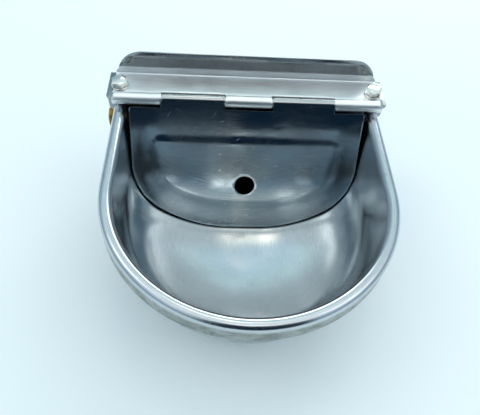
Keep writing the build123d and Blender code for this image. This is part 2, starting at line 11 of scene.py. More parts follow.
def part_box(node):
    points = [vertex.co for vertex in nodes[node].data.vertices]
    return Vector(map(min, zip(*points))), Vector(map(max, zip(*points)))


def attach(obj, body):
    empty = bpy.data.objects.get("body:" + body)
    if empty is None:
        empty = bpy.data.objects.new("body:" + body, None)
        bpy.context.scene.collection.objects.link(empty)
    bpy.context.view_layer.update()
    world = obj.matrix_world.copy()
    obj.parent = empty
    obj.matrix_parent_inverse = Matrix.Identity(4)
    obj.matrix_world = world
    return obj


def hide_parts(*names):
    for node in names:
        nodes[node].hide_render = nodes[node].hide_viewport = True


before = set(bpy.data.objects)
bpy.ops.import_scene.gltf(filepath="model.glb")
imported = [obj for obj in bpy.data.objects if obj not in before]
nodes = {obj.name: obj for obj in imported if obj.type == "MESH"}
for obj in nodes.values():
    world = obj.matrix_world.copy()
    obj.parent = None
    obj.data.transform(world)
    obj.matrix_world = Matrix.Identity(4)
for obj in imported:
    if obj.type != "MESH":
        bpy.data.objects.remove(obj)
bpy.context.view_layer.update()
scene = bpy.context.scene
MM = 0.001

# ---- sizes shared with the solids
SHEET = 1.2                 # basin wall
PLATE = 1.5                 # plate, bracket and lid sheet
ROLL_R = 5.55               # outside of the rolled rim and of every knuckle
ROLL_X = 119.0              # roll's centre line from the middle
ROLL_Z = 13.5
SKIRT_Z = -1.0
DRAFT = math.radians(3.0)
CORNER_R = 56.0
FLAT = 15.0                 # half of the flat along the bottom
ROUND_Z = -32.0             # where the side starts to turn in
FLOOR_Z = -94.5
RUN = 129.5                 # centre of the half-round front from the wall
EAR_Y = -29.8               # where the rolled rim stops
EAR_OUT = 130.5
HINGE = Vector((0.0, -35.5, 25.0))
CUT = 6.6                   # bracket and lid edges from the pin's centre line
SHELF_TOP = 27.6
UNDER = SHELF_TOP - PLATE   # underside of the shelf, on the ears
KNUCKLE = 43.5
BRACKET = 125.0
FLANGE_HALF, FLANGE_TOP = 123.0, 34.4
PLATE_HALF, PLATE_TOP, PLATE_FOOT = 123.5, 50.0, -6.0
WALL_HOLE_X, WALL_HOLE_R = 60.0, 4.5
CURL_IN, CURL_OUT = 22.5, 80.75
LID_A = math.radians(65.0)
BOLT_X, BOLT_Y = 119.3, -21.5
M8_FLATS = 13.0
WASHER = 1.6
INLET = Vector((0.0, -21.2, -12.0))
THREAD_END = -134.308
THREAD_R = 10.48
RELIEF_X = -121.808         # outside of the backnut
BACKNUT_X = -115.608
FLOAT_PIVOT = Vector((-88.106, -27.5, -27.0))
FLOAT_LONG, FLOAT_R = 76.0, 22.0

# the room: colours by height behind the bowl, at the sides and overhead; then its bright and dark
# parts, each as where it is, two cosines for where it starts and is full, and its colour
ROOM_BACK = ((0.0, (0.30, 0.45, 0.55)), (0.45, (0.34, 0.52, 0.64)), (0.62, (0.44, 0.64, 0.74)),
             (0.74, (0.76, 0.98, 1.0)), (0.80, (0.70, 0.96, 1.0)), (0.86, (0.50, 0.78, 0.94)),
             (1.0, (0.90, 1.0, 1.0)))
ROOM_SIDE = (0.32, 0.48, 0.59)
ROOM_TOP = (1.02, 1.14, 1.18)
ROOM_PARTS = ((Vector((0.684, -0.12, 0.72)), 0.955, 0.985, (1.60, 1.72, 1.75)),
              (Vector((-0.646, 0.114, 0.755)), 0.974, 0.991, (2.30, 2.40, 2.40)),
              (Vector((0.0, 0.34, 0.94)), 0.9915, 0.9975, (3.3, 3.1, 2.6)),
              (Vector((0.06, -0.38, 0.92)), 0.986, 0.995, (1.9, 1.95, 1.9)),
              (Vector((0.08, -0.99, 0.10)), 0.80, 0.90, (0.006, 0.020, 0.040)),
              (Vector((0.10, -0.85, 0.52)), 0.83, 0.91, (0.006, 0.020, 0.040)))
FLOOR_TONE = (0.90, 0.98, 1.0)
FLOOR_LIFT = (0.05, 0.05, 0.05)       # what the table adds for the eye and for mirrors, never on the bowl


# ---- outlines
def wall_x(z):
    """Inside face of the side wall at a height."""
    top = ROLL_X - ROLL_R * math.cos(DRAFT)
    return top - (ROLL_Z + ROLL_R * math.sin(DRAFT) - z) * math.tan(DRAFT)


def round_bottom(half, start, end, turn):
    """The two arcs that carry a side round to the flat: centres, larger radius, angle where they meet."""
    p = half - FLAT - CORNER_R * math.cos(turn)
    q = start - end - CORNER_R * (1 - math.sin(turn))
    meet = math.pi / 2 - 2 * math.atan2(q, p)
    large = CORNER_R + p / math.cos(meet)
    centre = (half - CORNER_R * math.cos(turn), start + CORNER_R * math.sin(turn))
    return centre, (FLAT, end + large), large, meet


def span(a, b, n):
    """Even steps from a to b."""
    return [a + (b - a) * i / n for i in range(n + 1)]


def arc(cx, cy, r, a0, a1, n):
    """Points on an arc, angles in degrees."""
    turns = [math.radians(a) for a in span(a0, a1, n)]
    return [(cx + r * math.cos(t), cy + r * math.sin(t)) for t in turns]


def circle(cx, cy, r, n):
    """A closed ring of points."""
    return arc(cx, cy, r, 0, 360, n)[:-1]


def round_points(bottom, land, turn, side_steps, low_steps, end=-90):
    """Points round both arcs of a bottom, a land outside them, from the side towards the flat."""
    side_centre, low_centre, large, meet = bottom
    f = math.degrees(meet)
    side = arc(*side_centre, CORNER_R + land, -math.degrees(turn), -f, side_steps)
    return side + arc(*low_centre, large + land, -f, end, low_steps)[1:]


BOWL_ROUND = round_bottom(wall_x(ROUND_Z), ROUND_Z, FLOOR_Z, DRAFT)


def lengths(points):
    """Distance along a line of points, from its start to each of them."""
    out = [0.0]
    for a, b in zip(points, points[1:]):
        out.append(out[-1] + math.dist(a, b))
    return out


def inside(p, loop):
    """True where a point lies in a closed loop."""
    hit = False
    x, y = p
    for i in range(len(loop)):
        x1, y1 = loop[i]
        x2, y2 = loop[i - 1]
        if (y1 > y) != (y2 > y) and x < (x2 - x1) * (y - y1) / (y2 - y1) + x1:
            hit = not hit
    return hit


def even(loop, step):
    """The same loop with points no further apart than step."""
    out = []
    for i in range(len(loop)):
        a, b = Vector(loop[i]), Vector(loop[(i + 1) % len(loop)])
        n = max(1, int((b - a).length / step + 0.999))
        out += [tuple(a.lerp(b, k / n)) for k in range(n)]
    return out


# ---- skins
def grid(bm, rows, keep=None, ways=None):
    """Faces between rows of points; keep(i, j) says which cells stay.

    ways holds the distances along the rows and across them, for the surface's own coordinates."""
    vs = [[bm.verts.new(p) for p in row] for row in rows]
    layer = bm.loops.layers.uv.verify() if ways else None
    for i in range(len(rows) - 1):
        for j in range(len(rows[0]) - 1):
            if keep is None or keep(i, j):
                corners = ((i, j), (i + 1, j), (i + 1, j + 1), (i, j + 1))
                face = bm.faces.new([vs[a][b] for a, b in corners])
                if ways:
                    for loop, (a, b) in zip(face.loops, corners):
                        loop[layer].uv = (ways[0][a] * MM, ways[1][b] * MM)


def flat_sheet(bm, outline, holes, place, fill=()):
    """Triangles inside an outline with holes, each point placed by place(u, v)."""
    pts, edges = [], []
    for loop in [outline] + list(holes):
        k = len(pts)
        pts += loop
        edges += [(k + i, k + (i + 1) % len(loop)) for i in range(len(loop))]
    pts += list(fill)
    co, _, tris, *_ = delaunay_2d_cdt([Vector(p) for p in pts], edges, [], 0, 1e-5)
    vs = [bm.verts.new(place(p.x, p.y)) for p in co]
    for t in tris:
        c = sum((co[i] for i in t), Vector((0, 0))) / len(t)
        if inside(c, outline) and not any(inside(c, h) for h in holes):
            bm.faces.new([vs[i] for i in t])


def skin(bm, rings, closed):
    """Faces between rings of points: the last joins the first, or else both ends are capped."""
    vs = [[bm.verts.new(p) for p in ring] for ring in rings]
    n = len(vs[0])
    following = vs[1:] + vs[:1] if closed else vs[1:]
    for a, b in zip(vs, following):
        for k in range(n):
            bm.faces.new((a[k], b[k], b[(k + 1) % n], a[(k + 1) % n]))
    if not closed:
        bm.faces.new(vs[0][::-1])
        bm.faces.new(vs[-1])


def turned(bm, profile, n, place, bulge=None, closed=False):
    """A profile of (along, radius) pairs turned about an axis by place(along, radius, angle).

    bulge(along, radius, angle) may change a radius. An open profile's ends are capped."""
    turns = [2 * math.pi * k / n for k in range(n)]
    skin(bm, [[place(a, bulge(a, r, t) if bulge else r, t) for t in turns] for a, r in profile], closed)


def about_x(y, z):
    """Turns about a line along X through y, z."""
    return lambda a, r, t: Vector((a, y + r * math.cos(t), z + r * math.sin(t)))


def about_z(a, r, t):
    """Turns about the upright axis."""
    return Vector((r * math.cos(t), r * math.sin(t), a))


def thread_rows(start, end, radius, steps):
    """Rows of a profile close enough together to carry a thread."""
    return [(a, radius) for a in span(start, end, steps)]


def thread(pitch, depth, start, end):
    """Radius change of a screw thread that fades out over its last turn at each end."""
    def bulge(a, r, t):
        fade = min(1.0, max(0.0, (a - start) / pitch), max(0.0, (end - a) / pitch))
        wave = (a / pitch - t / (2 * math.pi)) % 1.0
        return r - depth * fade * (1.0 - abs(2.0 * wave - 1.0)) ** 1.2
    return bulge


def hexagon(bm, flats, low, high, place, bore=0.0, crown=(True, True), n=96):
    """A hexagon's prism whose corners are turned off at the ends, with a bore or solid."""
    round_r = flats * 0.475
    lip, soft = 0.5, 0.15
    turns = [2 * math.pi * k / n for k in range(n)]
    edge = [flats / 2 / math.cos((t % (math.pi / 3)) - math.pi / 6) for t in turns]

    def end_rings(z, inward, turned_off):
        drops = [max(0.0, r - round_r) * math.tan(math.radians(30)) if turned_off else 0.0 for r in edge]
        crest = [min(r, round_r) if turned_off else r - soft for r in edge]
        return ([place(z, r, t) for r, t in zip(crest, turns)],
                [place(z + inward * drop, r, t) for drop, r, t in zip(drops, edge, turns)])

    under, over = end_rings(low, 1, crown[0]), end_rings(high, -1, crown[1])
    rings = [under[0], under[1], over[1], over[0]]
    if bore:
        for a, r in ((high, bore + lip), (high - lip, bore), (low + lip, bore), (low, bore + lip)):
            rings.append([place(a, r, t) for t in turns])
    skin(bm, rings, bool(bore))


# ---- objects from skins
def dress(ob, *finishes):
    """Gives an object its finishes, one for each material slot."""
    ob.data.materials.clear()
    for finish in finishes:
        ob.data.materials.append(finish)


def smooth(ob, deg):
    """Smooth shading, with creases sharper than an angle kept."""
    me = ob.data
    me.polygons.foreach_set("use_smooth", [True] * len(me.polygons))
    me.set_sharp_from_angle(angle=math.radians(deg))


def add_object(name, data):
    """A new object at the origin, in the scene."""
    ob = bpy.data.objects.new(name, data)
    scene.collection.objects.link(ob)
    return ob


def finish_mesh(name, bm, smooth_deg=35.0):
    """An object at the origin from a bmesh in millimetres."""
    bmesh.ops.remove_doubles(bm, verts=bm.verts, dist=1e-4)
    loose = [v for v in bm.verts if not v.link_faces]
    bmesh.ops.delete(bm, geom=loose, context="VERTS")
    for v in bm.verts:
        v.co *= MM
    me = bpy.data.meshes.new(name)
    bm.to_mesh(me)
    bm.free()
    ob = add_object(name, me)
    smooth(ob, smooth_deg)
    return ob


def closed_piece(name, bm, finish=None, smooth_deg=32.0):
    """An object from closed shells, every face turned outwards."""
    bmesh.ops.remove_doubles(bm, verts=bm.verts, dist=1e-4)
    bmesh.ops.recalc_face_normals(bm, faces=bm.faces)
    ob = finish_mesh(name, bm, smooth_deg)
    if finish:
        dress(ob, finish)
    return ob


def turn_to(bm, way, choose=lambda face: True):
    """Makes a skin consistent and turns it so that the chosen faces look along a direction."""
    bmesh.ops.recalc_face_normals(bm, faces=bm.faces)
    if sum(f.normal.dot(way) * f.calc_area() for f in bm.faces if choose(f)) < 0:
        bmesh.ops.reverse_faces(bm, faces=bm.faces)


def plain_mesh(ob):
    """The object's mesh as its modifiers leave it."""
    graph = bpy.context.evaluated_depsgraph_get()
    return bpy.data.meshes.new_from_object(ob.evaluated_get(graph), preserve_all_data_layers=True,
                                           depsgraph=graph)


def sheet_piece(name, bm, mm, *finishes, bevel=0.25, segments=2, back=0, smooth_deg=25.0):
    """An object from a skin: its sheet thickness lies behind the faces and its cut edges are broken.

    back is the material slot of the rear face."""
    ob = finish_mesh(name, bm)
    dress(ob, *finishes)
    s = ob.modifiers.new("sheet", "SOLIDIFY")
    s.material_offset = back
    s.thickness = mm * MM
    s.offset = -1.0
    s.use_even_offset = True
    s.use_quality_normals = True
    b = ob.modifiers.new("edge", "BEVEL")
    b.width = bevel * MM
    b.segments = segments
    b.limit_method = "ANGLE"
    b.angle_limit = math.radians(50)
    me, old = plain_mesh(ob), ob.data
    ob.modifiers.clear()
    ob.data = me
    me.name = ob.name
    bpy.data.meshes.remove(old)
    smooth(ob, smooth_deg)
    return ob


# ---- trees: helpers
def new_tree(name, kind, inputs, output):
    """A node group: inputs of (label, type, value) and one output of (label, type)."""
    tree = bpy.data.node_groups.new(name, kind)
    for label, socket, value in inputs:
        made = tree.interface.new_socket(label, in_out="INPUT", socket_type="NodeSocket" + socket)
        if value is not None:
            made.default_value = value
    tree.interface.new_socket(output[0], in_out="OUTPUT", socket_type="NodeSocket" + output[1])
    given = tree.nodes.new("NodeGroupInput").outputs
    return tree, given, tree.nodes.new("NodeGroupOutput").inputs[0]


def set_input(tree, socket, value):
    """Gives a socket a value or another node's output."""
    if isinstance(value, bpy.types.NodeSocket):
        tree.links.new(value, socket)
    else:
        socket.default_value = value


def put(tree, kind, inputs, **settings):
    """A node with its settings and inputs."""
    node = tree.nodes.new(kind)
    for key, value in settings.items():
        setattr(node, key, value)
    for key, value in inputs.items():
        set_input(tree, node.inputs[key], value)
    return node


def maths(tree, how, *values):
    """One sum on up to three values."""
    return put(tree, "ShaderNodeMath", dict(enumerate(values)), operation=how).outputs[0]


def vector_maths(tree, how, *values):
    """One sum on vectors, as a vector."""
    return put(tree, "ShaderNodeVectorMath", dict(enumerate(values)), operation=how).outputs[0]


def combine(tree, x, y, z):
    """A vector from its parts."""
    return put(tree, "ShaderNodeCombineXYZ", {0: x, 1: y, 2: z}).outputs[0]


def hand_out(tree, given, out, geometry):
    """The last steps of every tree: real meshes that wear the given finish."""
    real = put(tree, "GeometryNodeRealizeInstances", {"Geometry": geometry})
    worn = put(tree, "GeometryNodeSetMaterial", {"Geometry": real.outputs[0], "Material": given["Finish"]})
    tree.links.new(worn.outputs[0], out)
    return tree


def run_tree(ob, tree, values):
    """Runs a tree on an object with the values given by label, and keeps the plain mesh."""
    mod = ob.modifiers.new(tree.name, "NODES")
    mod.node_group = tree
    for item in tree.interface.items_tree:
        if item.in_out == "INPUT" and item.name in values:
            mod[item.identifier] = values[item.name]
    me = plain_mesh(ob)
    made = add_object(ob.name + "_made", me)
    name, old, kind = ob.name, ob.data, ob.type
    bpy.data.objects.remove(ob)
    (bpy.data.meshes if kind == "MESH" else bpy.data.curves).remove(old)
    made.name = me.name = name
    return made


def set_out(name, tree, pattern, values, smooth_deg):
    """Runs a tree that sets out copies of a pattern piece, and takes the pattern away."""
    own = tree.copy()
    given = next(n for n in own.nodes if n.type == "GROUP_INPUT").outputs["Piece"]
    take = put(own, "GeometryNodeObjectInfo", {"Object": pattern}, transform_space="ORIGINAL")
    for link in list(own.links):
        if link.from_socket == given:
            target = link.to_socket
            own.links.remove(link)
            own.links.new(take.outputs["Geometry"], target)
    made = run_tree(finish_mesh(name, bmesh.new()), own, values)
    me = pattern.data
    bpy.data.objects.remove(pattern)
    bpy.data.meshes.remove(me)
    smooth(made, smooth_deg)
    return made


# ---- trees that repeat or follow a path
def pair_tree():
    """Sets a piece at both ends of the bracket, each turned by its own angle."""
    tree, given, out = new_tree("pair_at_bracket_ends", "GeometryNodeTree", (
        ("Piece", "Geometry", None), ("Half Span", "Float", 0.1), ("Set Back", "Float", 0.0),
        ("Height", "Float", 0.0), ("Turn", "Float", 0.0), ("Seed", "Int", 1), ("Finish", "Material", None)),
        ("Pieces", "Geometry"))
    left = maths(tree, "MULTIPLY", given["Half Span"], -1.0)
    ends = [combine(tree, x, given["Set Back"], given["Height"]) for x in (left, given["Half Span"])]
    places = put(tree, "GeometryNodeMeshLine", {"Count": 2, "Start Location": ends[0], "Offset": ends[1]},
                 mode="END_POINTS")
    chance = put(tree, "FunctionNodeRandomValue", {2: 0.0, 3: given["Turn"], "Seed": given["Seed"]},
                 data_type="FLOAT")
    turn = combine(tree, 0.0, 0.0, chance.outputs[1])
    pieces = put(tree, "GeometryNodeInstanceOnPoints",
                 {"Points": places.outputs[0], "Instance": given["Piece"], "Rotation": turn})
    return hand_out(tree, given, out, pieces.outputs[0])


def bead_tree():
    """A weld bead: a rod along a path whose thickness rises and falls with every ripple."""
    tree, given, out = new_tree("weld_bead", "GeometryNodeTree", (
        ("Path", "Geometry", None), ("Radius", "Float", 0.0012), ("Ripple Pitch", "Float", 0.0012),
        ("Ripple Height", "Float", 0.2), ("Step", "Float", 0.0003), ("Seed", "Int", 1),
        ("Finish", "Material", None)), ("Bead", "Geometry"))
    path = put(tree, "GeometryNodeResampleCurve", {"Curve": given["Path"], "Length": given["Step"]},
               mode="LENGTH")
    along = put(tree, "GeometryNodeSplineParameter", {})
    waver = put(tree, "ShaderNodeTexNoise", {"Scale": 220.0, "Detail": 1.0, "W": given["Seed"]},
                noise_dimensions="4D")
    wander = 0.0012
    shift = maths(tree, "MULTIPLY_ADD", waver.outputs[0], wander, along.outputs["Length"])
    turns = maths(tree, "DIVIDE", shift, given["Ripple Pitch"])
    wave = maths(tree, "SINE", maths(tree, "MULTIPLY", turns, 2 * math.pi))
    swell = maths(tree, "MULTIPLY_ADD", wave, given["Ripple Height"], 1.0)
    size = maths(tree, "MULTIPLY", swell, given["Radius"])
    rod = put(tree, "GeometryNodeSetCurveRadius", {"Curve": path.outputs[0], "Radius": size})
    ring = put(tree, "GeometryNodeCurvePrimitiveCircle", {"Resolution": 10, "Radius": 1.0}, mode="RADIUS")
    mesh = put(tree, "GeometryNodeCurveToMesh",
               {"Curve": rod.outputs[0], "Profile Curve": ring.outputs[0], "Fill Caps": True})
    if "Scale" in mesh.inputs:
        tree.links.new(size, mesh.inputs["Scale"])
    smoothed = put(tree, "GeometryNodeSetShadeSmooth", {"Geometry": mesh.outputs[0]})
    return hand_out(tree, given, out, smoothed.outputs[0])


def rib_tree():
    """Fine ribs that stand in a ring round an axis along X, as on a finger-tight cap."""
    tree, given, out = new_tree("cap_ribs", "GeometryNodeTree", (
        ("Piece", "Geometry", None), ("Count", "Int", 24), ("Ring Radius", "Float", 0.009),
        ("Centre", "Vector", None), ("Finish", "Material", None)), ("Ribs", "Geometry"))
    ring = put(tree, "GeometryNodeMeshCircle", {"Vertices": given["Count"], "Radius": given["Ring Radius"]},
               fill_type="NONE")
    place = put(tree, "GeometryNodeInputPosition", {})
    aim = put(tree, "FunctionNodeAlignEulerToVector", {"Vector": place.outputs[0]}, axis="X")
    ribs = put(tree, "GeometryNodeInstanceOnPoints",
               {"Points": ring.outputs[0], "Instance": given["Piece"], "Rotation": aim.outputs[0]})
    stand = put(tree, "GeometryNodeTransform", {"Geometry": ribs.outputs[0], "Translation": given["Centre"],
                                                "Rotation": (0.0, math.pi / 2, 0.0)})
    return hand_out(tree, given, out, stand.outputs[0])


# ---- finishes: small helpers
GRAIN_SPAN = (0.3, 0.7)     # where nearly all of a noise's values lie


def mix_value(tree, share, a, b):
    """A value between two."""
    return put(tree, "ShaderNodeMix", {0: share, 2: a, 3: b}, data_type="FLOAT").outputs[0]


def mix_colour(tree, share, a, b, way="MIX"):
    """A colour between two, each a socket or red, green and blue."""
    node = put(tree, "ShaderNodeMix", {0: share}, data_type="RGBA", blend_type=way)
    for socket, value in ((6, a), (7, b)):
        set_input(tree, node.inputs[socket], (*value, 1.0) if isinstance(value, tuple) else value)
    return node.outputs[2]


def ramp(tree, value, low, high, to_low=0.0, to_high=1.0):
    """Takes low to high onto another range, with soft ends."""
    return put(tree, "ShaderNodeMapRange", {"Value": value, 1: low, 2: high, 3: to_low, 4: to_high},
               interpolation_type="SMOOTHSTEP").outputs[0]


# ---- finishes: effects that several share
def marks_group():
    """Fine parallel marks left by rolling or polishing, long in X and narrow across it."""
    tree, given, out = new_tree("polishing_marks", "ShaderNodeTree", (
        ("Vector", "Vector", None), ("Along", "Float", 60.0), ("Across", "Float", 1800.0)),
        ("Value", "Float"))
    scale = combine(tree, given["Along"], given["Across"], given["Across"])
    place = vector_maths(tree, "MULTIPLY", given["Vector"], scale)
    field = put(tree, "ShaderNodeTexNoise", {"Vector": place, "Scale": 1.0, "Detail": 4.0, "Roughness": 0.65})
    tree.links.new(field.outputs["Fac"], out)
    return tree


def scratch_group():
    """Stray scratches that run one way, turned about an axis and gathered in patches."""
    tree, given, out = new_tree("stray_scratches", "ShaderNodeTree", (
        ("Vector", "Vector", None), ("Axis", "Vector", (0, 0, 1)), ("Turn", "Float", 0.0),
        ("Along", "Float", 28.0), ("Across", "Float", 900.0), ("Share", "Float", 0.7),
        ("Seed", "Float", 0.0)), ("Mask", "Float"))
    bend = put(tree, "ShaderNodeTexNoise", {"Vector": given["Vector"], "Scale": 16.0, "Detail": 1.0})
    sway = vector_maths(tree, "MULTIPLY_ADD", bend.outputs["Color"], (0.010, 0.010, 0.010), given["Vector"])
    rotated = put(tree, "ShaderNodeVectorRotate",
                  {"Vector": sway, "Axis": given["Axis"], "Angle": given["Turn"]}, rotation_type="AXIS_ANGLE")
    scale = combine(tree, given["Along"], given["Across"], given["Across"])
    place = vector_maths(tree, "MULTIPLY", rotated.outputs[0], scale)
    lines, where = (put(tree, "ShaderNodeTexNoise", {"Vector": at, "W": given["Seed"], "Scale": scale,
                                                     "Detail": 1.0}, noise_dimensions="4D")
                    for at, scale in ((place, 1.0), (given["Vector"], 22.0)))
    high = maths(tree, "ADD", given["Share"], 0.05)
    cut_off = put(tree, "ShaderNodeMapRange", {"Value": lines.outputs["Fac"], 1: given["Share"], 2: high})
    patch = put(tree, "ShaderNodeMapRange", {"Value": where.outputs["Fac"], 1: 0.47, 2: 0.62})
    tree.links.new(maths(tree, "MULTIPLY", cut_off.outputs[0], patch.outputs[0]), out)
    return tree


def handling_group():
    """Slow cloudy change over a surface, from fingers, water and wiping."""
    tree, given, out = new_tree("handling_clouds", "ShaderNodeTree", (
        ("Vector", "Vector", None), ("Scale", "Float", 14.0), ("Seed", "Float", 0.0)), ("Value", "Float"))
    field = put(tree, "ShaderNodeTexNoise",
                {"Vector": given["Vector"], "W": given["Seed"], "Scale": given["Scale"], "Detail": 5.0,
                 "Roughness": 0.62, "Distortion": 0.5}, noise_dimensions="4D")
    tree.links.new(ramp(tree, field.outputs["Fac"], 0.34, 0.68), out)
    return tree


def fleck_group():
    """Small separate spots: drips, pits and specks of dust."""
    tree, given, out = new_tree("flecks", "ShaderNodeTree", (
        ("Vector", "Vector", None), ("Scale", "Float", 160.0), ("Share", "Float", 0.1)), ("Mask", "Float"))
    cells = put(tree, "ShaderNodeTexVoronoi", {"Vector": given["Vector"], "Scale": given["Scale"]})
    dot = put(tree, "ShaderNodeMapRange", {"Value": cells.outputs["Distance"], 1: 0.10, 2: 0.22, 3: 1.0,
                                           4: 0.0})
    pick = put(tree, "ShaderNodeSeparateColor", {0: cells.outputs["Color"]})
    chosen = maths(tree, "LESS_THAN", pick.outputs[0], given["Share"])
    tree.links.new(maths(tree, "MULTIPLY", dot.outputs[0], chosen), out)
    return tree


MARKS, SCRATCHES, CLOUDS, FLECKS = marks_group(), scratch_group(), handling_group(), fleck_group()


def effect(tree, group, **inputs):
    """One of the shared groups placed in a material; gives its output."""
    return put(tree, "ShaderNodeGroup", inputs, node_tree=group).outputs[0]


def start_material(name, metal=0.0):
    """A new material with its tree, its shader and the surface coordinates."""
    m = bpy.data.materials.new(name)
    m.use_nodes = True
    tree = m.node_tree
    shader = tree.nodes["Principled BSDF"]
    shader.inputs["Metallic"].default_value = metal
    return m, tree, shader, tree.nodes.new("ShaderNodeTexCoord").outputs


def end_material(tree, shader, colour, roughness, height, strength, distance):
    """Joins a finish's colour, roughness and relief to its shader."""
    tree.links.new(colour, shader.inputs["Base Color"])
    tree.links.new(roughness, shader.inputs["Roughness"])
    relief = put(tree, "ShaderNodeBump", {"Strength": strength, "Distance": distance, "Height": height})
    tree.links.new(relief.outputs["Normal"], shader.inputs["Normal"])


def scratches(tree, vector, axis, turns, share, along=28.0, across=900.0):
    """Several runs of stray scratches at different turns, laid over each other."""
    total = None
    for k, turn in enumerate(turns):
        run = effect(tree, SCRATCHES, Vector=vector, Axis=axis, Turn=turn, Along=along, Across=across,
                     Share=share, Seed=3.7 * k + turn)
        total = run if total is None else maths(tree, "MAXIMUM", total, run)
    return total


def grained(tree, colour, grain, low, high):
    """A colour made darker and lighter along its grain."""
    tone = ramp(tree, grain, *GRAIN_SPAN, low, high)
    grey = put(tree, "ShaderNodeCombineColor", {0: tone, 1: tone, 2: tone}).outputs[0]
    return mix_colour(tree, 1.0, colour, grey, "MULTIPLY")


def laid_over(tree, colour, mask, strength, over):
    """A second colour laid over the first where a mask is."""
    return mix_colour(tree, maths(tree, "MULTIPLY", mask, strength), colour, over)


def fine_noise(tree, place, scale):
    """Plain fine noise over a surface."""
    return put(tree, "ShaderNodeTexNoise", {"Vector": place, "Scale": scale, "Detail": 3.0}).outputs["Fac"]


# ---- finishes
def sheet_steel(name, light, dark, rough, marks=(70.0, 2200.0, 0.3), clouds=12.0, spread=0.08,
                turns=(0.5, 1.9, 2.7), share=0.70, axis=(0, 0, 1), seed=0.0, scratch_tone=0.35, spots=0.05):
    """Stainless sheet: rolled grain, handling clouds, stray scratches and a few water spots."""
    m, tree, shader, coords = start_material(name, 1.0)
    place = coords["Object"]
    cloud = effect(tree, CLOUDS, Vector=place, Scale=clouds, Seed=seed)
    grain = effect(tree, MARKS, Vector=place, Along=marks[0], Across=marks[1])
    scratch = scratches(tree, place, axis, turns, share)
    spot = effect(tree, FLECKS, Vector=place, Scale=170.0, Share=spots)
    colour = grained(tree, mix_colour(tree, cloud, light, dark), grain, 0.90, 1.08)
    colour = laid_over(tree, colour, scratch, scratch_tone, tuple(min(1.0, c * 1.30) for c in light))
    colour = laid_over(tree, colour, spot, 0.35, tuple(c * 0.55 for c in dark))
    roughness = ramp(tree, cloud, 0.0, 1.0, rough - spread / 2, rough + spread)
    roughness = maths(tree, "ADD", roughness, maths(tree, "MULTIPLY", scratch, 0.14))
    roughness = maths(tree, "ADD", roughness, ramp(tree, grain, *GRAIN_SPAN, -0.03, 0.03))
    height = maths(tree, "SUBTRACT", grain, maths(tree, "MULTIPLY", scratch, 0.8))
    end_material(tree, shader, colour, roughness, height, marks[2], 0.00008)
    return m


def basin_steel(name, roll_start, roll_end):
    """The drawn bowl: satin inside, a polished roll and a duller skirt, by the way up its section."""
    m, tree, shader, coords = start_material(name, 1.0)
    place, way = coords["Object"], coords["UV"]
    up = put(tree, "ShaderNodeSeparateXYZ", {0: way}).outputs[1]
    on_roll = ramp(tree, up, roll_start - 0.003, roll_start + 0.001)
    on_skirt = ramp(tree, up, roll_end - 0.002, roll_end + 0.0025)
    cloud = effect(tree, CLOUDS, Vector=place, Scale=11.0, Seed=2.0)
    blotch = effect(tree, CLOUDS, Vector=place, Scale=90.0, Seed=5.0)
    grain = effect(tree, MARKS, Vector=way, Along=75.0, Across=2400.0)
    scratch = scratches(tree, place, (0, 0, 1), (0.3, 1.3, 2.4), 0.715, 24.0, 800.0)
    spot = effect(tree, FLECKS, Vector=place, Scale=120.0, Share=0.05)
    inside_tone = mix_colour(tree, cloud, (0.60, 0.645, 0.68), (0.50, 0.545, 0.575))
    roll_tone = mix_colour(tree, cloud, (0.62, 0.65, 0.68), (0.53, 0.56, 0.59))
    skirt_tone = mix_colour(tree, blotch, (0.43, 0.45, 0.44), (0.28, 0.30, 0.28))
    colour = mix_colour(tree, on_roll, inside_tone, roll_tone)
    colour = mix_colour(tree, on_skirt, colour, skirt_tone)
    colour = grained(tree, colour, grain, 0.88, 1.08)
    colour = laid_over(tree, colour, scratch, 0.28, (0.82, 0.85, 0.88))
    colour = laid_over(tree, colour, spot, 0.25, (0.24, 0.26, 0.26))
    inside_rough = ramp(tree, cloud, 0.0, 1.0, 0.15, 0.20)
    roll_rough = ramp(tree, cloud, 0.0, 1.0, 0.19, 0.25)
    skirt_rough = ramp(tree, blotch, 0.0, 1.0, 0.36, 0.55)
    roughness = mix_value(tree, on_roll, inside_rough, roll_rough)
    roughness = mix_value(tree, on_skirt, roughness, skirt_rough)
    roughness = maths(tree, "ADD", roughness, maths(tree, "MULTIPLY", scratch, 0.10))
    pitted = maths(tree, "MULTIPLY", maths(tree, "MULTIPLY", blotch, on_skirt), 1.6)
    end_material(tree, shader, colour, roughness, maths(tree, "ADD", grain, pitted), 0.28, 0.00009)
    return m


def cast_brass(name, light, dark, rough, scale=900.0, depth=0.35):
    """Brass that was cast and turned, gone dull in patches."""
    m, tree, shader, coords = start_material(name, 1.0)
    place = coords["Object"]
    dull = effect(tree, CLOUDS, Vector=place, Scale=85.0, Seed=1.0)
    grain = fine_noise(tree, place, scale)
    spot = effect(tree, FLECKS, Vector=place, Scale=420.0, Share=0.10)
    colour = laid_over(tree, mix_colour(tree, dull, light, dark), spot, 0.5, (0.20, 0.12, 0.05))
    roughness = maths(tree, "ADD", ramp(tree, dull, 0.0, 1.0, rough, rough + 0.22),
                      ramp(tree, grain, *GRAIN_SPAN, -0.04, 0.04))
    end_material(tree, shader, colour, roughness, grain, depth, 0.00006)
    return m


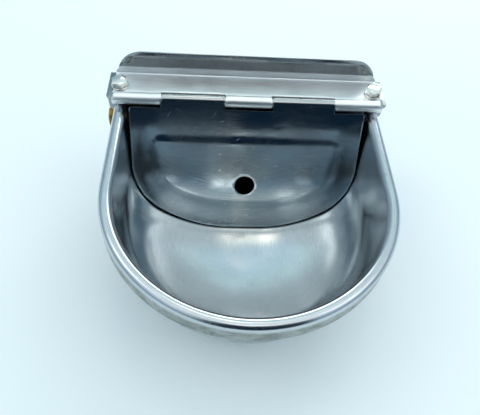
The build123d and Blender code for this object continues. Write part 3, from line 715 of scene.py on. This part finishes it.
def plated_steel(name):
    """Bright plated bolts: a faint straw cast and small dull specks."""
    m, tree, shader, coords = start_material(name, 1.0)
    place = coords["Object"]
    cloud = effect(tree, CLOUDS, Vector=place, Scale=160.0, Seed=4.0)
    spot = effect(tree, FLECKS, Vector=place, Scale=700.0, Share=0.12)
    colour = mix_colour(tree, cloud, (0.80, 0.81, 0.79), (0.66, 0.65, 0.58))
    colour = laid_over(tree, colour, spot, 0.5, (0.36, 0.34, 0.28))
    roughness = ramp(tree, cloud, 0.0, 1.0, 0.20, 0.36)
    end_material(tree, shader, colour, roughness, fine_noise(tree, place, 1500.0), 0.30, 0.00005)
    return m


def moulded(name, light, dark, rough, scale, depth, dust=0.06):
    """Rubber or plastic from a mould: fine skin, slow change of tone and a little dust."""
    m, tree, shader, coords = start_material(name)
    place = coords["Object"]
    cloud = effect(tree, CLOUDS, Vector=place, Scale=40.0, Seed=6.0)
    grain = fine_noise(tree, place, scale)
    speck = effect(tree, FLECKS, Vector=place, Scale=480.0, Share=dust)
    colour = laid_over(tree, mix_colour(tree, cloud, light, dark), speck, 0.35, (0.42, 0.41, 0.38))
    roughness = maths(tree, "ADD", ramp(tree, cloud, 0.0, 1.0, rough - 0.06, rough + 0.06),
                      ramp(tree, grain, *GRAIN_SPAN, -0.04, 0.04))
    shader.inputs["Specular IOR Level"].default_value = 0.4
    end_material(tree, shader, colour, roughness, grain, depth, 0.00012)
    return m


# ---- basin
ROLL_STEPS = 36
RIPPLE, RIPPLE_SIZE, RIPPLE_SEED = 0.04, 38.0, 3.1      # slow waves of the drawn sheet


def basin_section():
    """Visible side of the sheet from the middle up the wall and over the roll, and where the wall ends."""
    pts = [(r, FLOOR_Z) for r in (0, 5, 10)]
    pts += round_points(BOWL_ROUND, 0.0, DRAFT, 22, 16)[::-1]
    low = Vector(pts[-1])
    top = Vector((ROLL_X - ROLL_R * math.cos(DRAFT), ROLL_Z + ROLL_R * math.sin(DRAFT)))
    pts += [tuple(low.lerp(top, t)) for t in span(0, 1, 8)[1:]]
    last_wall = len(pts) - 1
    pts += arc(ROLL_X, ROLL_Z, ROLL_R, 180 - math.degrees(DRAFT), 0, ROLL_STEPS)[1:]
    pts += [(ROLL_X + ROLL_R, z) for z in span(ROLL_Z, SKIRT_Z, 6)[1:]]
    return pts, last_wall


def make_basin(section, last_wall, inner, outer):
    """The drawn bowl with its rolled rim, which stops short of the wall on both sides."""
    rear = span(-PLATE, EAR_Y, 8)
    side = rear + span(EAR_Y, -RUN, 34)[1:]
    stations = [(1.0, 0.0, y) for y in side]
    stations += [(math.cos(t), -math.sin(t), -RUN) for t in span(0, math.pi, 128)[1:-1]]
    stations += [(-1.0, 0.0, y) for y in reversed(side)]
    rows = [[(r * across, y + r * ahead, z) for r, z in section] for across, ahead, y in stations]
    n = len(rear) - 1
    last = len(stations) - 1

    def keep(i, j):
        return j < last_wall or n <= i < last - n

    bm = bmesh.new()
    grid(bm, rows, keep, (lengths([row[last_wall] for row in rows]), lengths(section)))
    bmesh.ops.remove_doubles(bm, verts=bm.verts, dist=1e-4)
    turn_to(bm, Vector((0, 0, 1)), lambda f: f.calc_center_median().z < FLOOR_Z + CORNER_R / 4)
    # the waves fade out before the back edge and leave the rim alone
    still, fading = 3.0, 20.0
    for v in bm.verts:
        fade = min(1.0, max(0.0, (-v.co.y - still) / fading))
        if v.co.z < ROLL_Z:
            v.co.z += fade * RIPPLE * noise.noise(v.co / RIPPLE_SIZE + Vector((RIPPLE_SEED, 0, 0)))
    return sheet_piece("bowl_basin", bm, SHEET, inner, outer, bevel=0.3, segments=3, back=1,
                       smooth_deg=20.0)


# ---- lid
LID_N = Vector((0, -math.sin(LID_A), math.cos(LID_A)))
LID_D = Vector((0, -math.cos(LID_A), -math.sin(LID_A)))
LID_GAP = 1.2               # between the lid and the bowl's wall and floor
LID_HALF = wall_x(ROUND_Z) - LID_GAP
LID_RISE = (ROLL_R - PLATE) * math.cos(LID_A)
LID_LONG = (HINGE.z - FLOOR_Z - LID_GAP + LID_RISE) / math.sin(LID_A)
LID_ROUND = (HINGE.z - ROUND_Z + LID_RISE) / math.sin(LID_A)
LID_BOTTOM = round_bottom(LID_HALF, -LID_ROUND, -LID_LONG, 0.0)
FOOT, SLOPE, RISE, PANEL_TOP = 14.5, 9.5, 2.6, 31.0
SOFT_SLOPE, TOP_RISE = 24.0, 0.5      # the panel's long foot at the bottom, its height along the top
HOLE_S, HOLE_R = 83.0, 10.0
LID_CORNER = 2.5


def from_edge(x, s):
    """Distance in from the lid's side and bottom edge."""
    side_centre, low_centre, large, meet = LID_BOTTOM
    x = abs(x)
    if s <= LID_ROUND:
        return LID_HALF - x
    u, v = x - side_centre[0], -s - side_centre[1]
    if u > 0 and math.atan2(-v, u) < meet:
        return CORNER_R - math.hypot(u, v)
    u, v = x - low_centre[0], -s - low_centre[1]
    if u > 0:
        return large - math.hypot(u, v)
    return LID_LONG - s


def panel_height(x, s):
    """Height of the pressed panel above the lid's face: low along the top, full and long-footed below."""
    low = min(1.0, max(0.0, (s - PANEL_TOP) / (LID_LONG - PANEL_TOP - FOOT)))
    slope = SLOPE + (SOFT_SLOPE - SLOPE) * low
    a = (from_edge(x, s) - FOOT) * SLOPE / slope
    b = s - PANEL_TOP
    k = SLOPE + 4.0            # radius of the upper corners at the panel's foot
    if a < k and b < k:
        d = k - math.hypot(k - a, k - b)
    else:
        d = min(a, b)
    t = min(1.0, max(0.0, d / SLOPE))
    return (TOP_RISE + (RISE - TOP_RISE) * low) * t * t * t * (t * (6 * t - 15) + 10)


def on_lid(x, s, off):
    """A point by its place across the lid, down it and off its plane."""
    return HINGE + Vector((x, 0, 0)) + LID_D * s + LID_N * off


def lid_outline():
    """The lid's edge all round, with the two tabs that run up to the curls."""
    corner = LID_HALF - LID_CORNER
    # the tabs' inner sides run from the cut up to the pin's line
    half = [(CURL_IN, -CUT)] + [(x, 0.0) for x in span(CURL_IN, CURL_OUT, 24)] + [(CURL_OUT, -CUT)]
    half += arc(corner, -CUT - LID_CORNER, LID_CORNER, 90, 0, 6)
    half += [(LID_HALF, -s) for s in span(CUT + LID_CORNER, LID_ROUND, 24)[1:]]
    half += round_points(LID_BOTTOM, 0.0, 0.0, 30, 26)[1:]
    left = [(-x, y) for x, y in reversed(half)]
    bottom = [(x, -LID_LONG) for x in span(FLAT, -FLAT, 8)[1:-1]]
    return half + bottom + left + [(x, -CUT) for x in span(-CURL_IN, CURL_IN, 12)[1:-1]]


def make_lid(finish):
    """The flap: a flat sheet with a pressed panel, a finger hole and two curls round the pin."""
    step, clear = 2.2, 1.6
    fill = []
    for i in range(-52, 53):
        for k in range(4, 62):
            x, s = i * step, k * step
            if from_edge(x, s) > clear and s > CUT + clear and math.hypot(x, s - HOLE_S) > HOLE_R + clear:
                fill.append((x, -s))
    bm = bmesh.new()
    flat_sheet(bm, lid_outline(), [circle(0, -HOLE_S, HOLE_R, 72)],
               lambda u, v: on_lid(u, -v, ROLL_R + panel_height(u, -v)), fill)
    # curls, each a strip that carries on from the lid's top edge round the pin
    start, wrap = math.degrees(math.atan2(LID_N.z, LID_N.y)), 313
    for side in (1, -1):
        xs = [side * x for x in span(CURL_IN, CURL_OUT, 24)]
        grid(bm, [[(x, y, z) for x in xs] for y, z in arc(HINGE.y, HINGE.z, ROLL_R, start, start - wrap, 60)])
    bmesh.ops.remove_doubles(bm, verts=bm.verts, dist=1e-3)
    turn_to(bm, LID_N)
    return sheet_piece("bowl_lid", bm, PLATE, finish)


# ---- bracket
def bracket_path():
    """Down the flange, along under the shelf and round the pin, and where the shelf ends."""
    bend, dip, seam = 3.0, 2.0, math.radians(-32)
    path = [(-PLATE, z) for z in (FLANGE_TOP, FLANGE_TOP - 1.0, FLANGE_TOP - 2.6)]
    path += arc(-PLATE - bend, UNDER + bend, bend, 0, -90, 10)
    path += [(y, UNDER) for y in span(-PLATE - bend, HINGE.y + CUT, 8)[1:]]
    shelf_rows = len(path) - 1
    # dip behind the barrel, then round the pin to the seam on the shelf
    p0 = Vector((HINGE.y + CUT, UNDER))
    p3 = Vector((HINGE.y + ROLL_R * math.cos(seam), HINGE.z + ROLL_R * math.sin(seam)))
    p1 = p0 - Vector((dip, 0.0))
    p2 = p3 + Vector((-math.sin(seam), math.cos(seam))) * dip
    for t in span(0, 1, 8)[1:]:
        u = 1 - t
        path.append(tuple(p0 * u ** 3 + p1 * 3 * t * u ** 2 + p2 * 3 * t * t * u + p3 * t ** 3))
    return path + arc(HINGE.y, HINGE.z, ROLL_R, -32, -320, 64)[1:], shelf_rows


def make_bracket(finish):
    """One bent sheet: flange, shelf and knuckles. The skin is its underside and the knuckles' outside."""
    starts = (-BRACKET, -KNUCKLE / 2, BRACKET - KNUCKLE)
    xs = [x for a in starts for x in span(a, a + KNUCKLE, 10)]
    for a, b in ((-BRACKET + KNUCKLE, -KNUCKLE / 2), (KNUCKLE / 2, BRACKET - KNUCKLE)):
        xs += span(a, b, 6)[1:-1]
    xs = sorted(xs)
    corner = 4.0
    path, shelf_rows = bracket_path()
    rows = []
    for y, z in path:
        share = 1.0
        if z > SHELF_TOP + 1.6:
            above = max(0.0, z - (FLANGE_TOP - corner))
            share = (FLANGE_HALF - corner + math.sqrt(max(0.0, corner ** 2 - above ** 2))) / BRACKET
        rows.append([(x * share, y, z) for x in xs])

    def keep(i, j):
        middle = (xs[j] + xs[j + 1]) / 2
        return i < shelf_rows or any(a < middle < a + KNUCKLE for a in starts)

    bm = bmesh.new()
    grid(bm, rows, keep)
    turn_to(bm, Vector((0, 0, -1)), lambda f: abs(f.calc_center_median().z - UNDER) < 0.01)
    return sheet_piece("bowl_hinge_bracket", bm, PLATE, finish)


# ---- back plate and ears
def make_back_plate(finish):
    """The wall plate: round shoulders above, and the bowl's own outline below with a land for the weld."""
    land, shoulder, lower, straight, step = SHEET + 2.0, 25.0, 7.5, 14.0, 12
    floor = FLOOR_Z - SHEET
    half = arc(PLATE_HALF - shoulder, PLATE_TOP - shoulder, shoulder, 90, 0, 20)
    half += arc(PLATE_HALF - lower, PLATE_FOOT + lower, lower, 0, -90, 8)
    half += [(wall_x(z) + land / math.cos(DRAFT), z) for z in (PLATE_FOOT, PLATE_FOOT - straight)]
    half += [p for p in round_points(BOWL_ROUND, land, DRAFT, 26, 22) if p[1] > floor]
    _, low_centre, large, _ = BOWL_ROUND
    half.append((low_centre[0] + math.sqrt((large + land) ** 2 - (floor - low_centre[1]) ** 2), floor))
    outline = even(half + [(-x, y) for x, y in reversed(half)], step)
    fill = [(x, z) for x in range(-120, 121, step) for z in range(-90, 49, step) if inside((x, z), outline)]
    bm = bmesh.new()
    flat_sheet(bm, outline, [circle(x, 0, WALL_HOLE_R, 48) for x in (-WALL_HOLE_X, WALL_HOLE_X)],
               lambda u, v: Vector((u, -PLATE, v)), fill)
    turn_to(bm, Vector((0, -1, 0)))
    return sheet_piece("bowl_back_plate", bm, PLATE, finish)


def make_ear(side, finish):
    """Corner ear: top plate with a finger beside the knuckles, folded down over the end of the roll."""
    inner, finger_in, finger_front, finger_r = 112.0, 125.5, -37.5, 4.0
    leg_in, leg_low, leg_r, leg_top = 114.81, 4.6, 6.0, UNDER - PLATE + 0.2
    top = [(inner, -PLATE), (EAR_OUT, -PLATE), (EAR_OUT, finger_front + finger_r)]
    top += arc(EAR_OUT - finger_r, finger_front + finger_r, finger_r, 0, -90, 8)[1:]
    top += [(finger_in, finger_front), (finger_in, EAR_Y), (inner, EAR_Y)]
    leg = [(leg_in, leg_top), (EAR_OUT, leg_top), (EAR_OUT, leg_low + leg_r)]
    leg += arc(EAR_OUT - leg_r, leg_low + leg_r, leg_r, 0, -90, 10)[1:] + [(leg_in, leg_low)]
    bm = bmesh.new()
    flat_sheet(bm, even(top, 4.0), [circle(BOLT_X, BOLT_Y, 4.5, 32)],
               lambda u, v: Vector((u * side, v, UNDER)))
    flat_sheet(bm, even(leg, 4.0), [], lambda u, v: Vector((u * side, EAR_Y, v)))
    for f in bm.faces:
        f.normal_update()
        if f.normal.z < -0.5 or f.normal.y > 0.5:
            f.normal_flip()
    return sheet_piece("bowl_ear_right" if side > 0 else "bowl_ear_left", bm, PLATE, finish, bevel=0.2)


# ---- bolts, washers and nuts
def at_both_ends(name, bm, tree, height, turn, seed, finish):
    """A piece made about the upright axis, set at both ends of the bracket."""
    pattern = closed_piece("pattern", bm)
    return set_out(name, tree, pattern, {"Half Span": BOLT_X * MM, "Set Back": BOLT_Y * MM, "Seed": seed,
                                         "Height": height * MM, "Turn": turn, "Finish": finish}, 35)


def make_bolts(tree, finish):
    """Hexagon bolts, M8, with a washer face under the head and a rolled thread."""
    bm = bmesh.new()
    hexagon(bm, M8_FLATS, 0.35, 5.3, about_z, crown=(False, True))
    turned(bm, [(0.0, 5.7), (0.5, 5.9), (0.8, 5.9)], 48, about_z)
    low, high, r = -16.0, -1.6, 3.98
    rows = [(low, 2.9), (low + 0.9, r - 0.03)] + thread_rows(low + 1.0, high, r, 96)
    rows += [(high + 0.6, r), (0.4, r)]
    turned(bm, rows, 40, about_z, thread(1.25, 0.62, low, high))
    return at_both_ends("bowl_bracket_bolts", bm, tree, SHELF_TOP + WASHER, 1.1, 4, finish)


def make_washers(tree, finish):
    """Flat washers with rolled edges."""
    bm = bmesh.new()
    turned(bm, [(0.25, 4.2), (0.0, 4.4), (0.0, 7.6), (0.35, 8.0), (1.25, 8.0), (WASHER, 7.6), (WASHER, 4.4),
                (1.35, 4.2)], 64, about_z, closed=True)
    return at_both_ends("bowl_bolt_washers", bm, tree, SHELF_TOP, 0.0, 1, finish)


def make_nuts(tree, finish):
    """Hexagon nuts under the ears."""
    bm = bmesh.new()
    hexagon(bm, M8_FLATS, -6.5, 0.0, about_z, bore=4.05)
    return at_both_ends("bowl_bolt_nuts", bm, tree, SHELF_TOP - 2 * PLATE, 0.9, 2, finish)


# ---- inlet and float valve
INLET_AT = about_x(INLET.y, INLET.z)


def make_valve_body(finish):
    """The solid's own body inside the bowl, with a cut thread on the spigot outside the backnut."""
    bm = bmesh.new()
    bm.from_mesh(nodes["valve_body"].data)
    bmesh.ops.remove_doubles(bm, verts=bm.verts, dist=1e-7)
    cut = bmesh.ops.bisect_plane(bm, geom=bm.verts[:] + bm.edges[:] + bm.faces[:],
                                 plane_co=((RELIEF_X + 0.1) * MM, 0, 0), plane_no=(1, 0, 0), clear_inner=True)
    rim = [e for e in cut["geom_cut"] if isinstance(e, bmesh.types.BMEdge)]
    bmesh.ops.holes_fill(bm, edges=rim)
    bmesh.ops.scale(bm, vec=(1 / MM,) * 3, verts=bm.verts)
    start, relief_r, bore_r = RELIEF_X - 1.0, 9.68, 6.0
    rows = [(THREAD_END, 6.4), (THREAD_END, 9.1), (THREAD_END + 1.0, THREAD_R - 0.1)]
    rows += thread_rows(THREAD_END + 1.1, start, THREAD_R, 110)
    rows += [(start + 0.15, relief_r), (RELIEF_X + 0.3, relief_r), (RELIEF_X + 0.3, bore_r - 1.0),
             (THREAD_END + 14.0, bore_r - 1.0), (THREAD_END + 11.0, bore_r), (THREAD_END + 0.4, bore_r)]
    cutter = thread(1.814, 1.05, THREAD_END + 0.4, start)
    turned(bm, rows, 72, INLET_AT, lambda a, r, t: cutter(a, r, t) if r > 10.0 else r, closed=True)
    return closed_piece("valve_body_brass", bm, finish)


def make_backnut(finish):
    """Hexagon backnut with turned corners, turned 30 degrees about the inlet's axis."""
    bm = bmesh.new()
    turn = math.radians(30)
    hexagon(bm, 27.0, BACKNUT_X - 6.0, BACKNUT_X,
            lambda a, r, t: INLET_AT(a, r, t + turn), bore=THREAD_R + 0.05, n=120)
    return closed_piece("valve_backnut_brass", bm, finish)


def make_cap(tree, finish):
    """Finger-tight cap: a turned disc with ribs set in a ring round it."""
    low, wide = 2.0, 8.5
    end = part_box("valve_cap")[0][0] / MM + low
    bm = bmesh.new()
    turned(bm, [(end - low, 5.9), (end, 5.9), (end, 8.1), (end + 0.4, wide), (end + 4.0, wide),
                (end + 4.5, 8.0), (end + 4.5, 5.2), (end + 4.1, 4.8)], 96, INLET_AT)
    body = closed_piece("valve_cap_brass", bm, finish)
    bm = bmesh.new()
    turned(bm, [(-2.15, 0.25), (-1.85, 0.5), (1.85, 0.5), (2.15, 0.25)], 10, about_z)
    centre = Vector((end + 2.25, INLET.y, INLET.z)) * MM
    ribs = set_out("valve_cap_ribs", tree, closed_piece("pattern", bm),
                   {"Count": 24, "Ring Radius": (wide + 0.1) * MM, "Centre": centre, "Finish": finish}, 40)
    return body, ribs


def make_float(finish):
    """Blown float in two halves with a welded seam, a round neck and a shallow dimple at the far end."""
    tilt = math.radians(15.0)
    along = Vector((math.cos(tilt), 0, -math.sin(tilt)))
    across = Vector((math.sin(tilt), 0, math.cos(tilt)))
    start = FLOAT_PIVOT + along * 82.0
    curve, seam, bead = 12.0, (36.6, 39.4), 0.8

    def place(a, r, t):
        return start + along * a + Vector((0, 1, 0)) * r * math.cos(t) + across * r * math.sin(t)

    profile = [(12.5, 0.4), (12.5, 2.55), (0.3, 2.55), (0.0, 2.9), (0.0, 6.6), (0.4, 7.0), (3.4, 7.0),
               (4.0, 7.8)]
    profile += arc(16.0, FLOAT_R - curve, curve, 180, 90, 16)
    profile += [(x, FLOAT_R) for x in span(16.0, seam[0], 10)[1:]]
    profile += [(seam[0] + 0.3, FLOAT_R + bead - 0.1), (seam[0] + 0.7, FLOAT_R + bead),
                (seam[1] - 0.7, FLOAT_R + bead), (seam[1] - 0.3, FLOAT_R + bead - 0.1), (seam[1], FLOAT_R)]
    profile += [(x, FLOAT_R) for x in span(seam[1], FLOAT_LONG - curve, 10)[1:]]
    profile += arc(FLOAT_LONG - curve, FLOAT_R - curve, curve, 90, 0, 16)[1:]
    profile += [(FLOAT_LONG - depth, r) for depth, r in ((0.0, 7.0), (0.5, 6.4), (0.7, 3.0), (0.7, 0.4))]
    bm = bmesh.new()
    turned(bm, profile, 96, place)
    return closed_piece("valve_float", bm, finish, 40)


# ---- weld along the back
def make_weld(tree, finish):
    """Bead in the corner between the bowl's outside and the back plate, round the whole U."""
    land, above_floor = SHEET + 0.35, 1.7
    half = [(wall_x(z) + land / math.cos(DRAFT), z) for z in span(-8.0, ROUND_Z, 6)]
    half += round_points(BOWL_ROUND, land, DRAFT, 24, 16, -84)[1:]
    half = [p for p in half if p[1] > FLOOR_Z - SHEET + above_floor]
    made = []
    for side, label, seed in ((1, "right", 3), (-1, "left", 8)):
        curve = bpy.data.curves.new("weld", "CURVE")
        curve.dimensions = "3D"
        spline = curve.splines.new("POLY")
        spline.points.add(len(half) - 1)
        for point, (x, z) in zip(spline.points, half):
            point.co = (side * x * MM, -(PLATE + 0.35) * MM, z * MM, 1.0)
        ob = add_object("bowl_weld_" + label, curve)
        made.append(run_tree(ob, tree, {"Radius": 0.0012, "Ripple Pitch": 0.0016, "Ripple Height": 0.12,
                                        "Step": 0.0004, "Seed": seed, "Finish": finish}))
    return made


# ---- stage, room, lamp and camera
def make_stage():
    """Pale table top just under the bowl."""
    bm = bmesh.new()
    far, z = 3000, FLOOR_Z - SHEET - 0.02
    grid(bm, [[(x, y, z) for x in (-far, far)] for y in (-far, far)])
    ob = finish_mesh("stage_floor", bm)
    if ob.data.polygons[0].normal.z < 0:
        ob.data.flip_normals()
    m, tree, shader, _ = start_material("stage_white")
    shader.inputs["Base Color"].default_value = (*FLOOR_TONE, 1)
    shader.inputs["Roughness"].default_value = 0.9
    shader.inputs["Specular IOR Level"].default_value = 0.1
    shader.inputs["Emission Color"].default_value = (*FLOOR_LIFT, 1)
    ray = tree.nodes.new("ShaderNodeLightPath").outputs
    seen = maths(tree, "MAXIMUM", ray["Is Camera Ray"], ray["Is Glossy Ray"])
    seen = maths(tree, "MAXIMUM", seen, ray["Is Transmission Ray"])
    tree.links.new(seen, shader.inputs["Emission Strength"])
    dress(ob, m)


def make_world():
    """A pale blue room, bright behind the bowl and overhead, with a dark side in front."""
    w = bpy.data.worlds.new("room")
    scene.world = w
    w.use_nodes = True
    tree = w.node_tree
    tree.nodes.clear()
    facing = tree.nodes.new("ShaderNodeTexCoord").outputs["Generated"]
    part = put(tree, "ShaderNodeSeparateXYZ", {0: facing}).outputs
    back = put(tree, "ShaderNodeValToRGB", {"Fac": part[2]})
    stops = back.color_ramp.elements
    for stop, (height, colour) in ((stops[0], ROOM_BACK[0]), (stops[1], ROOM_BACK[-1])):
        stop.position = height
        stop.color = (*colour, 1)
    for height, colour in ROOM_BACK[1:-1]:
        stops.new(height).color = (*colour, 1)
    side = mix_colour(tree, ramp(tree, part[2], 0.2, 0.92), ROOM_SIDE, ROOM_TOP)
    colour = mix_colour(tree, ramp(tree, part[1], 0.25, 0.62), side, back.outputs[0])
    for way, start, full, tone in ROOM_PARTS:
        dot = put(tree, "ShaderNodeVectorMath", {0: facing, 1: way.normalized()}, operation="DOT_PRODUCT")
        colour = mix_colour(tree, ramp(tree, dot.outputs["Value"], start, full), colour, tone)
    light = put(tree, "ShaderNodeBackground", {"Color": colour})
    out = tree.nodes.new("ShaderNodeOutputWorld")
    tree.links.new(light.outputs[0], out.inputs["Surface"])


def make_lamp(name, place, aim, size, watts, colour):
    """A rectangular soft lamp aimed at a point, in metres."""
    d = bpy.data.lights.new(name, "AREA")
    d.shape = "RECTANGLE"
    d.size, d.size_y = size
    d.energy = watts
    d.color = colour
    ob = add_object(name, d)
    ob.location = place
    ob.rotation_mode = "QUATERNION"
    ob.rotation_quaternion = (Vector(aim) - Vector(place)).to_track_quat("-Z", "Y")


def make_camera():
    """Looks down at the bowl from in front, a little to its left."""
    d = bpy.data.cameras.new("camera")
    d.sensor_width = 36.0
    d.lens = 36.02
    d.clip_start, d.clip_end = 0.02, 50
    cam = add_object("camera", d)
    down, roll, turn = math.radians(54.02), math.radians(6.02), math.radians(5.93)
    ahead = Vector((math.sin(turn) * math.cos(down), math.cos(turn) * math.cos(down), -math.sin(down)))
    level = Vector((math.cos(turn), -math.sin(turn), 0.0))
    above = level.cross(ahead)
    right = level * math.cos(roll) + above * math.sin(roll)
    up = above * math.cos(roll) - level * math.sin(roll)
    m = Matrix((right, up, -ahead)).transposed().to_4x4()
    m.translation = Vector((-0.0330, -0.3757, 0.3286))
    cam.matrix_world = m
    scene.camera = cam


# ---- making the bowl
section, last_wall = basin_section()
way_up = lengths(section)

bowl_inside = basin_steel("bowl_inside", way_up[last_wall] * MM, way_up[last_wall + ROLL_STEPS] * MM)
bowl_outside = sheet_steel("bowl_outside", (0.56, 0.59, 0.61), (0.44, 0.47, 0.49), 0.38,
                           marks=(1500.0, 60.0, 0.4), clouds=18.0, spread=0.14, seed=3.0, spots=0.14)
lid_steel = sheet_steel("lid_steel", (0.53, 0.56, 0.57), (0.44, 0.465, 0.47), 0.13,
                        marks=(90.0, 1700.0, 0.12), clouds=13.0, turns=(0.35, 1.2, 2.1, 2.8),
                        axis=(0.0, -0.906, 0.423), seed=1.0, scratch_tone=0.3)
# The bracket's steel is painted nearly white, far lighter than the other sheet: a painted highlight for the
# bright reflection on its shelf.
bracket_steel = sheet_steel("bracket_steel", (0.92, 0.94, 0.95), (0.84, 0.87, 0.89), 0.42,
                            marks=(55.0, 2600.0, 0.25), clouds=16.0, share=0.74, seed=7.0,
                            scratch_tone=0.2, spots=0.04)
# The plate and ears are painted much darker than the other sheet: painted shade for the dark reflection of
# the room in front of them.
plate_steel = sheet_steel("plate_steel", (0.36, 0.385, 0.40), (0.28, 0.305, 0.32), 0.20,
                          marks=(1300.0, 45.0, 0.12), clouds=20.0, turns=(0.2, 1.5, 2.4),
                          axis=(0.0, 1.0, 0.0), seed=9.0, spots=0.10)
pin_steel = sheet_steel("pin_steel", (0.66, 0.67, 0.68), (0.54, 0.55, 0.56), 0.22,
                        marks=(2600.0, 300.0, 0.4), clouds=60.0, seed=12.0)
bolt_steel = plated_steel("bolt_steel")
weld_steel = sheet_steel("weld_steel", (0.50, 0.50, 0.49), (0.30, 0.30, 0.32), 0.36,
                         marks=(900.0, 900.0, 0.4), clouds=120.0, spread=0.15, seed=15.0, spots=0.12)
valve_brass = cast_brass("valve_brass", (0.72, 0.52, 0.22), (0.48, 0.33, 0.13), 0.27)
arm_brass = cast_brass("arm_brass", (0.74, 0.55, 0.26), (0.55, 0.39, 0.17), 0.22, 1600.0, 0.2)
seal_rubber = moulded("seal_rubber", (0.030, 0.030, 0.031), (0.055, 0.054, 0.052), 0.72, 1400.0, 0.5, 0.12)
nozzle_nylon = moulded("nozzle_nylon", (0.80, 0.80, 0.76), (0.72, 0.71, 0.66), 0.42, 700.0, 0.2)
float_plastic = moulded("float_plastic", (0.035, 0.042, 0.050), (0.060, 0.066, 0.072), 0.48, 1100.0, 0.45)

basin = make_basin(section, last_wall, bowl_inside, bowl_outside)
lid = make_lid(lid_steel)
bracket = make_bracket(bracket_steel)
back_plate = make_back_plate(plate_steel)
right_ear, left_ear = make_ear(1, plate_steel), make_ear(-1, plate_steel)
pair = pair_tree()
bolts, washers, nuts = (make(pair, bolt_steel) for make in (make_bolts, make_washers, make_nuts))
valve_body, backnut = make_valve_body(valve_brass), make_backnut(valve_brass)
cap, cap_ribs = make_cap(rib_tree(), valve_brass)
float_piece = make_float(float_plastic)
welds = make_weld(bead_tree(), weld_steel)

for piece, body, node, slot in (
        (basin, "bowl", "basin", "bowl_steel"), (lid, "lid", "lid", "lid_steel"),
        (bracket, "bowl", "hinge_bracket", "bracket_steel"),
        (back_plate, "bowl", "back_plate", "plate_steel"),
        (right_ear, "bowl", "right_ear", "plate_steel"), (left_ear, "bowl", "left_ear", "plate_steel"),
        (bolts, "bowl", "bracket_bolts", "bolt_steel"), (washers, "bowl", "bolt_washers", "bolt_steel"),
        (nuts, "bowl", "bolt_nuts", "bolt_steel"), (valve_body, "bowl", "valve_body", "valve_brass"),
        (backnut, "bowl", "valve_backnut", "valve_brass"), (cap, "bowl", "valve_cap", "valve_brass"),
        (cap_ribs, "bowl", None, "valve_brass"), (float_piece, "float_arm", "float", "float_plastic"),
        (welds[0], "bowl", None, "bowl_steel"), (welds[1], "bowl", None, "bowl_steel")):
    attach(piece, body)
    if node:
        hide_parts(node)

for name, finish in (
        ("hinge_pin", pin_steel), ("inlet_washers", seal_rubber), ("piston_washer", seal_rubber),
        ("valve_nozzle", nozzle_nylon), ("valve_piston", valve_brass), ("lever_pin", arm_brass),
        ("float_lever", arm_brass), ("float_nut", arm_brass)):
    dress(nodes[name], finish)

make_stage()
make_world()
make_lamp("softbox_back", (0.45, 1.55, 0.90), (0, -0.1, 0), (1.5, 0.5), 9.0, (1.0, 0.99, 0.95))
make_camera()
scene.view_settings.view_transform = "Standard"
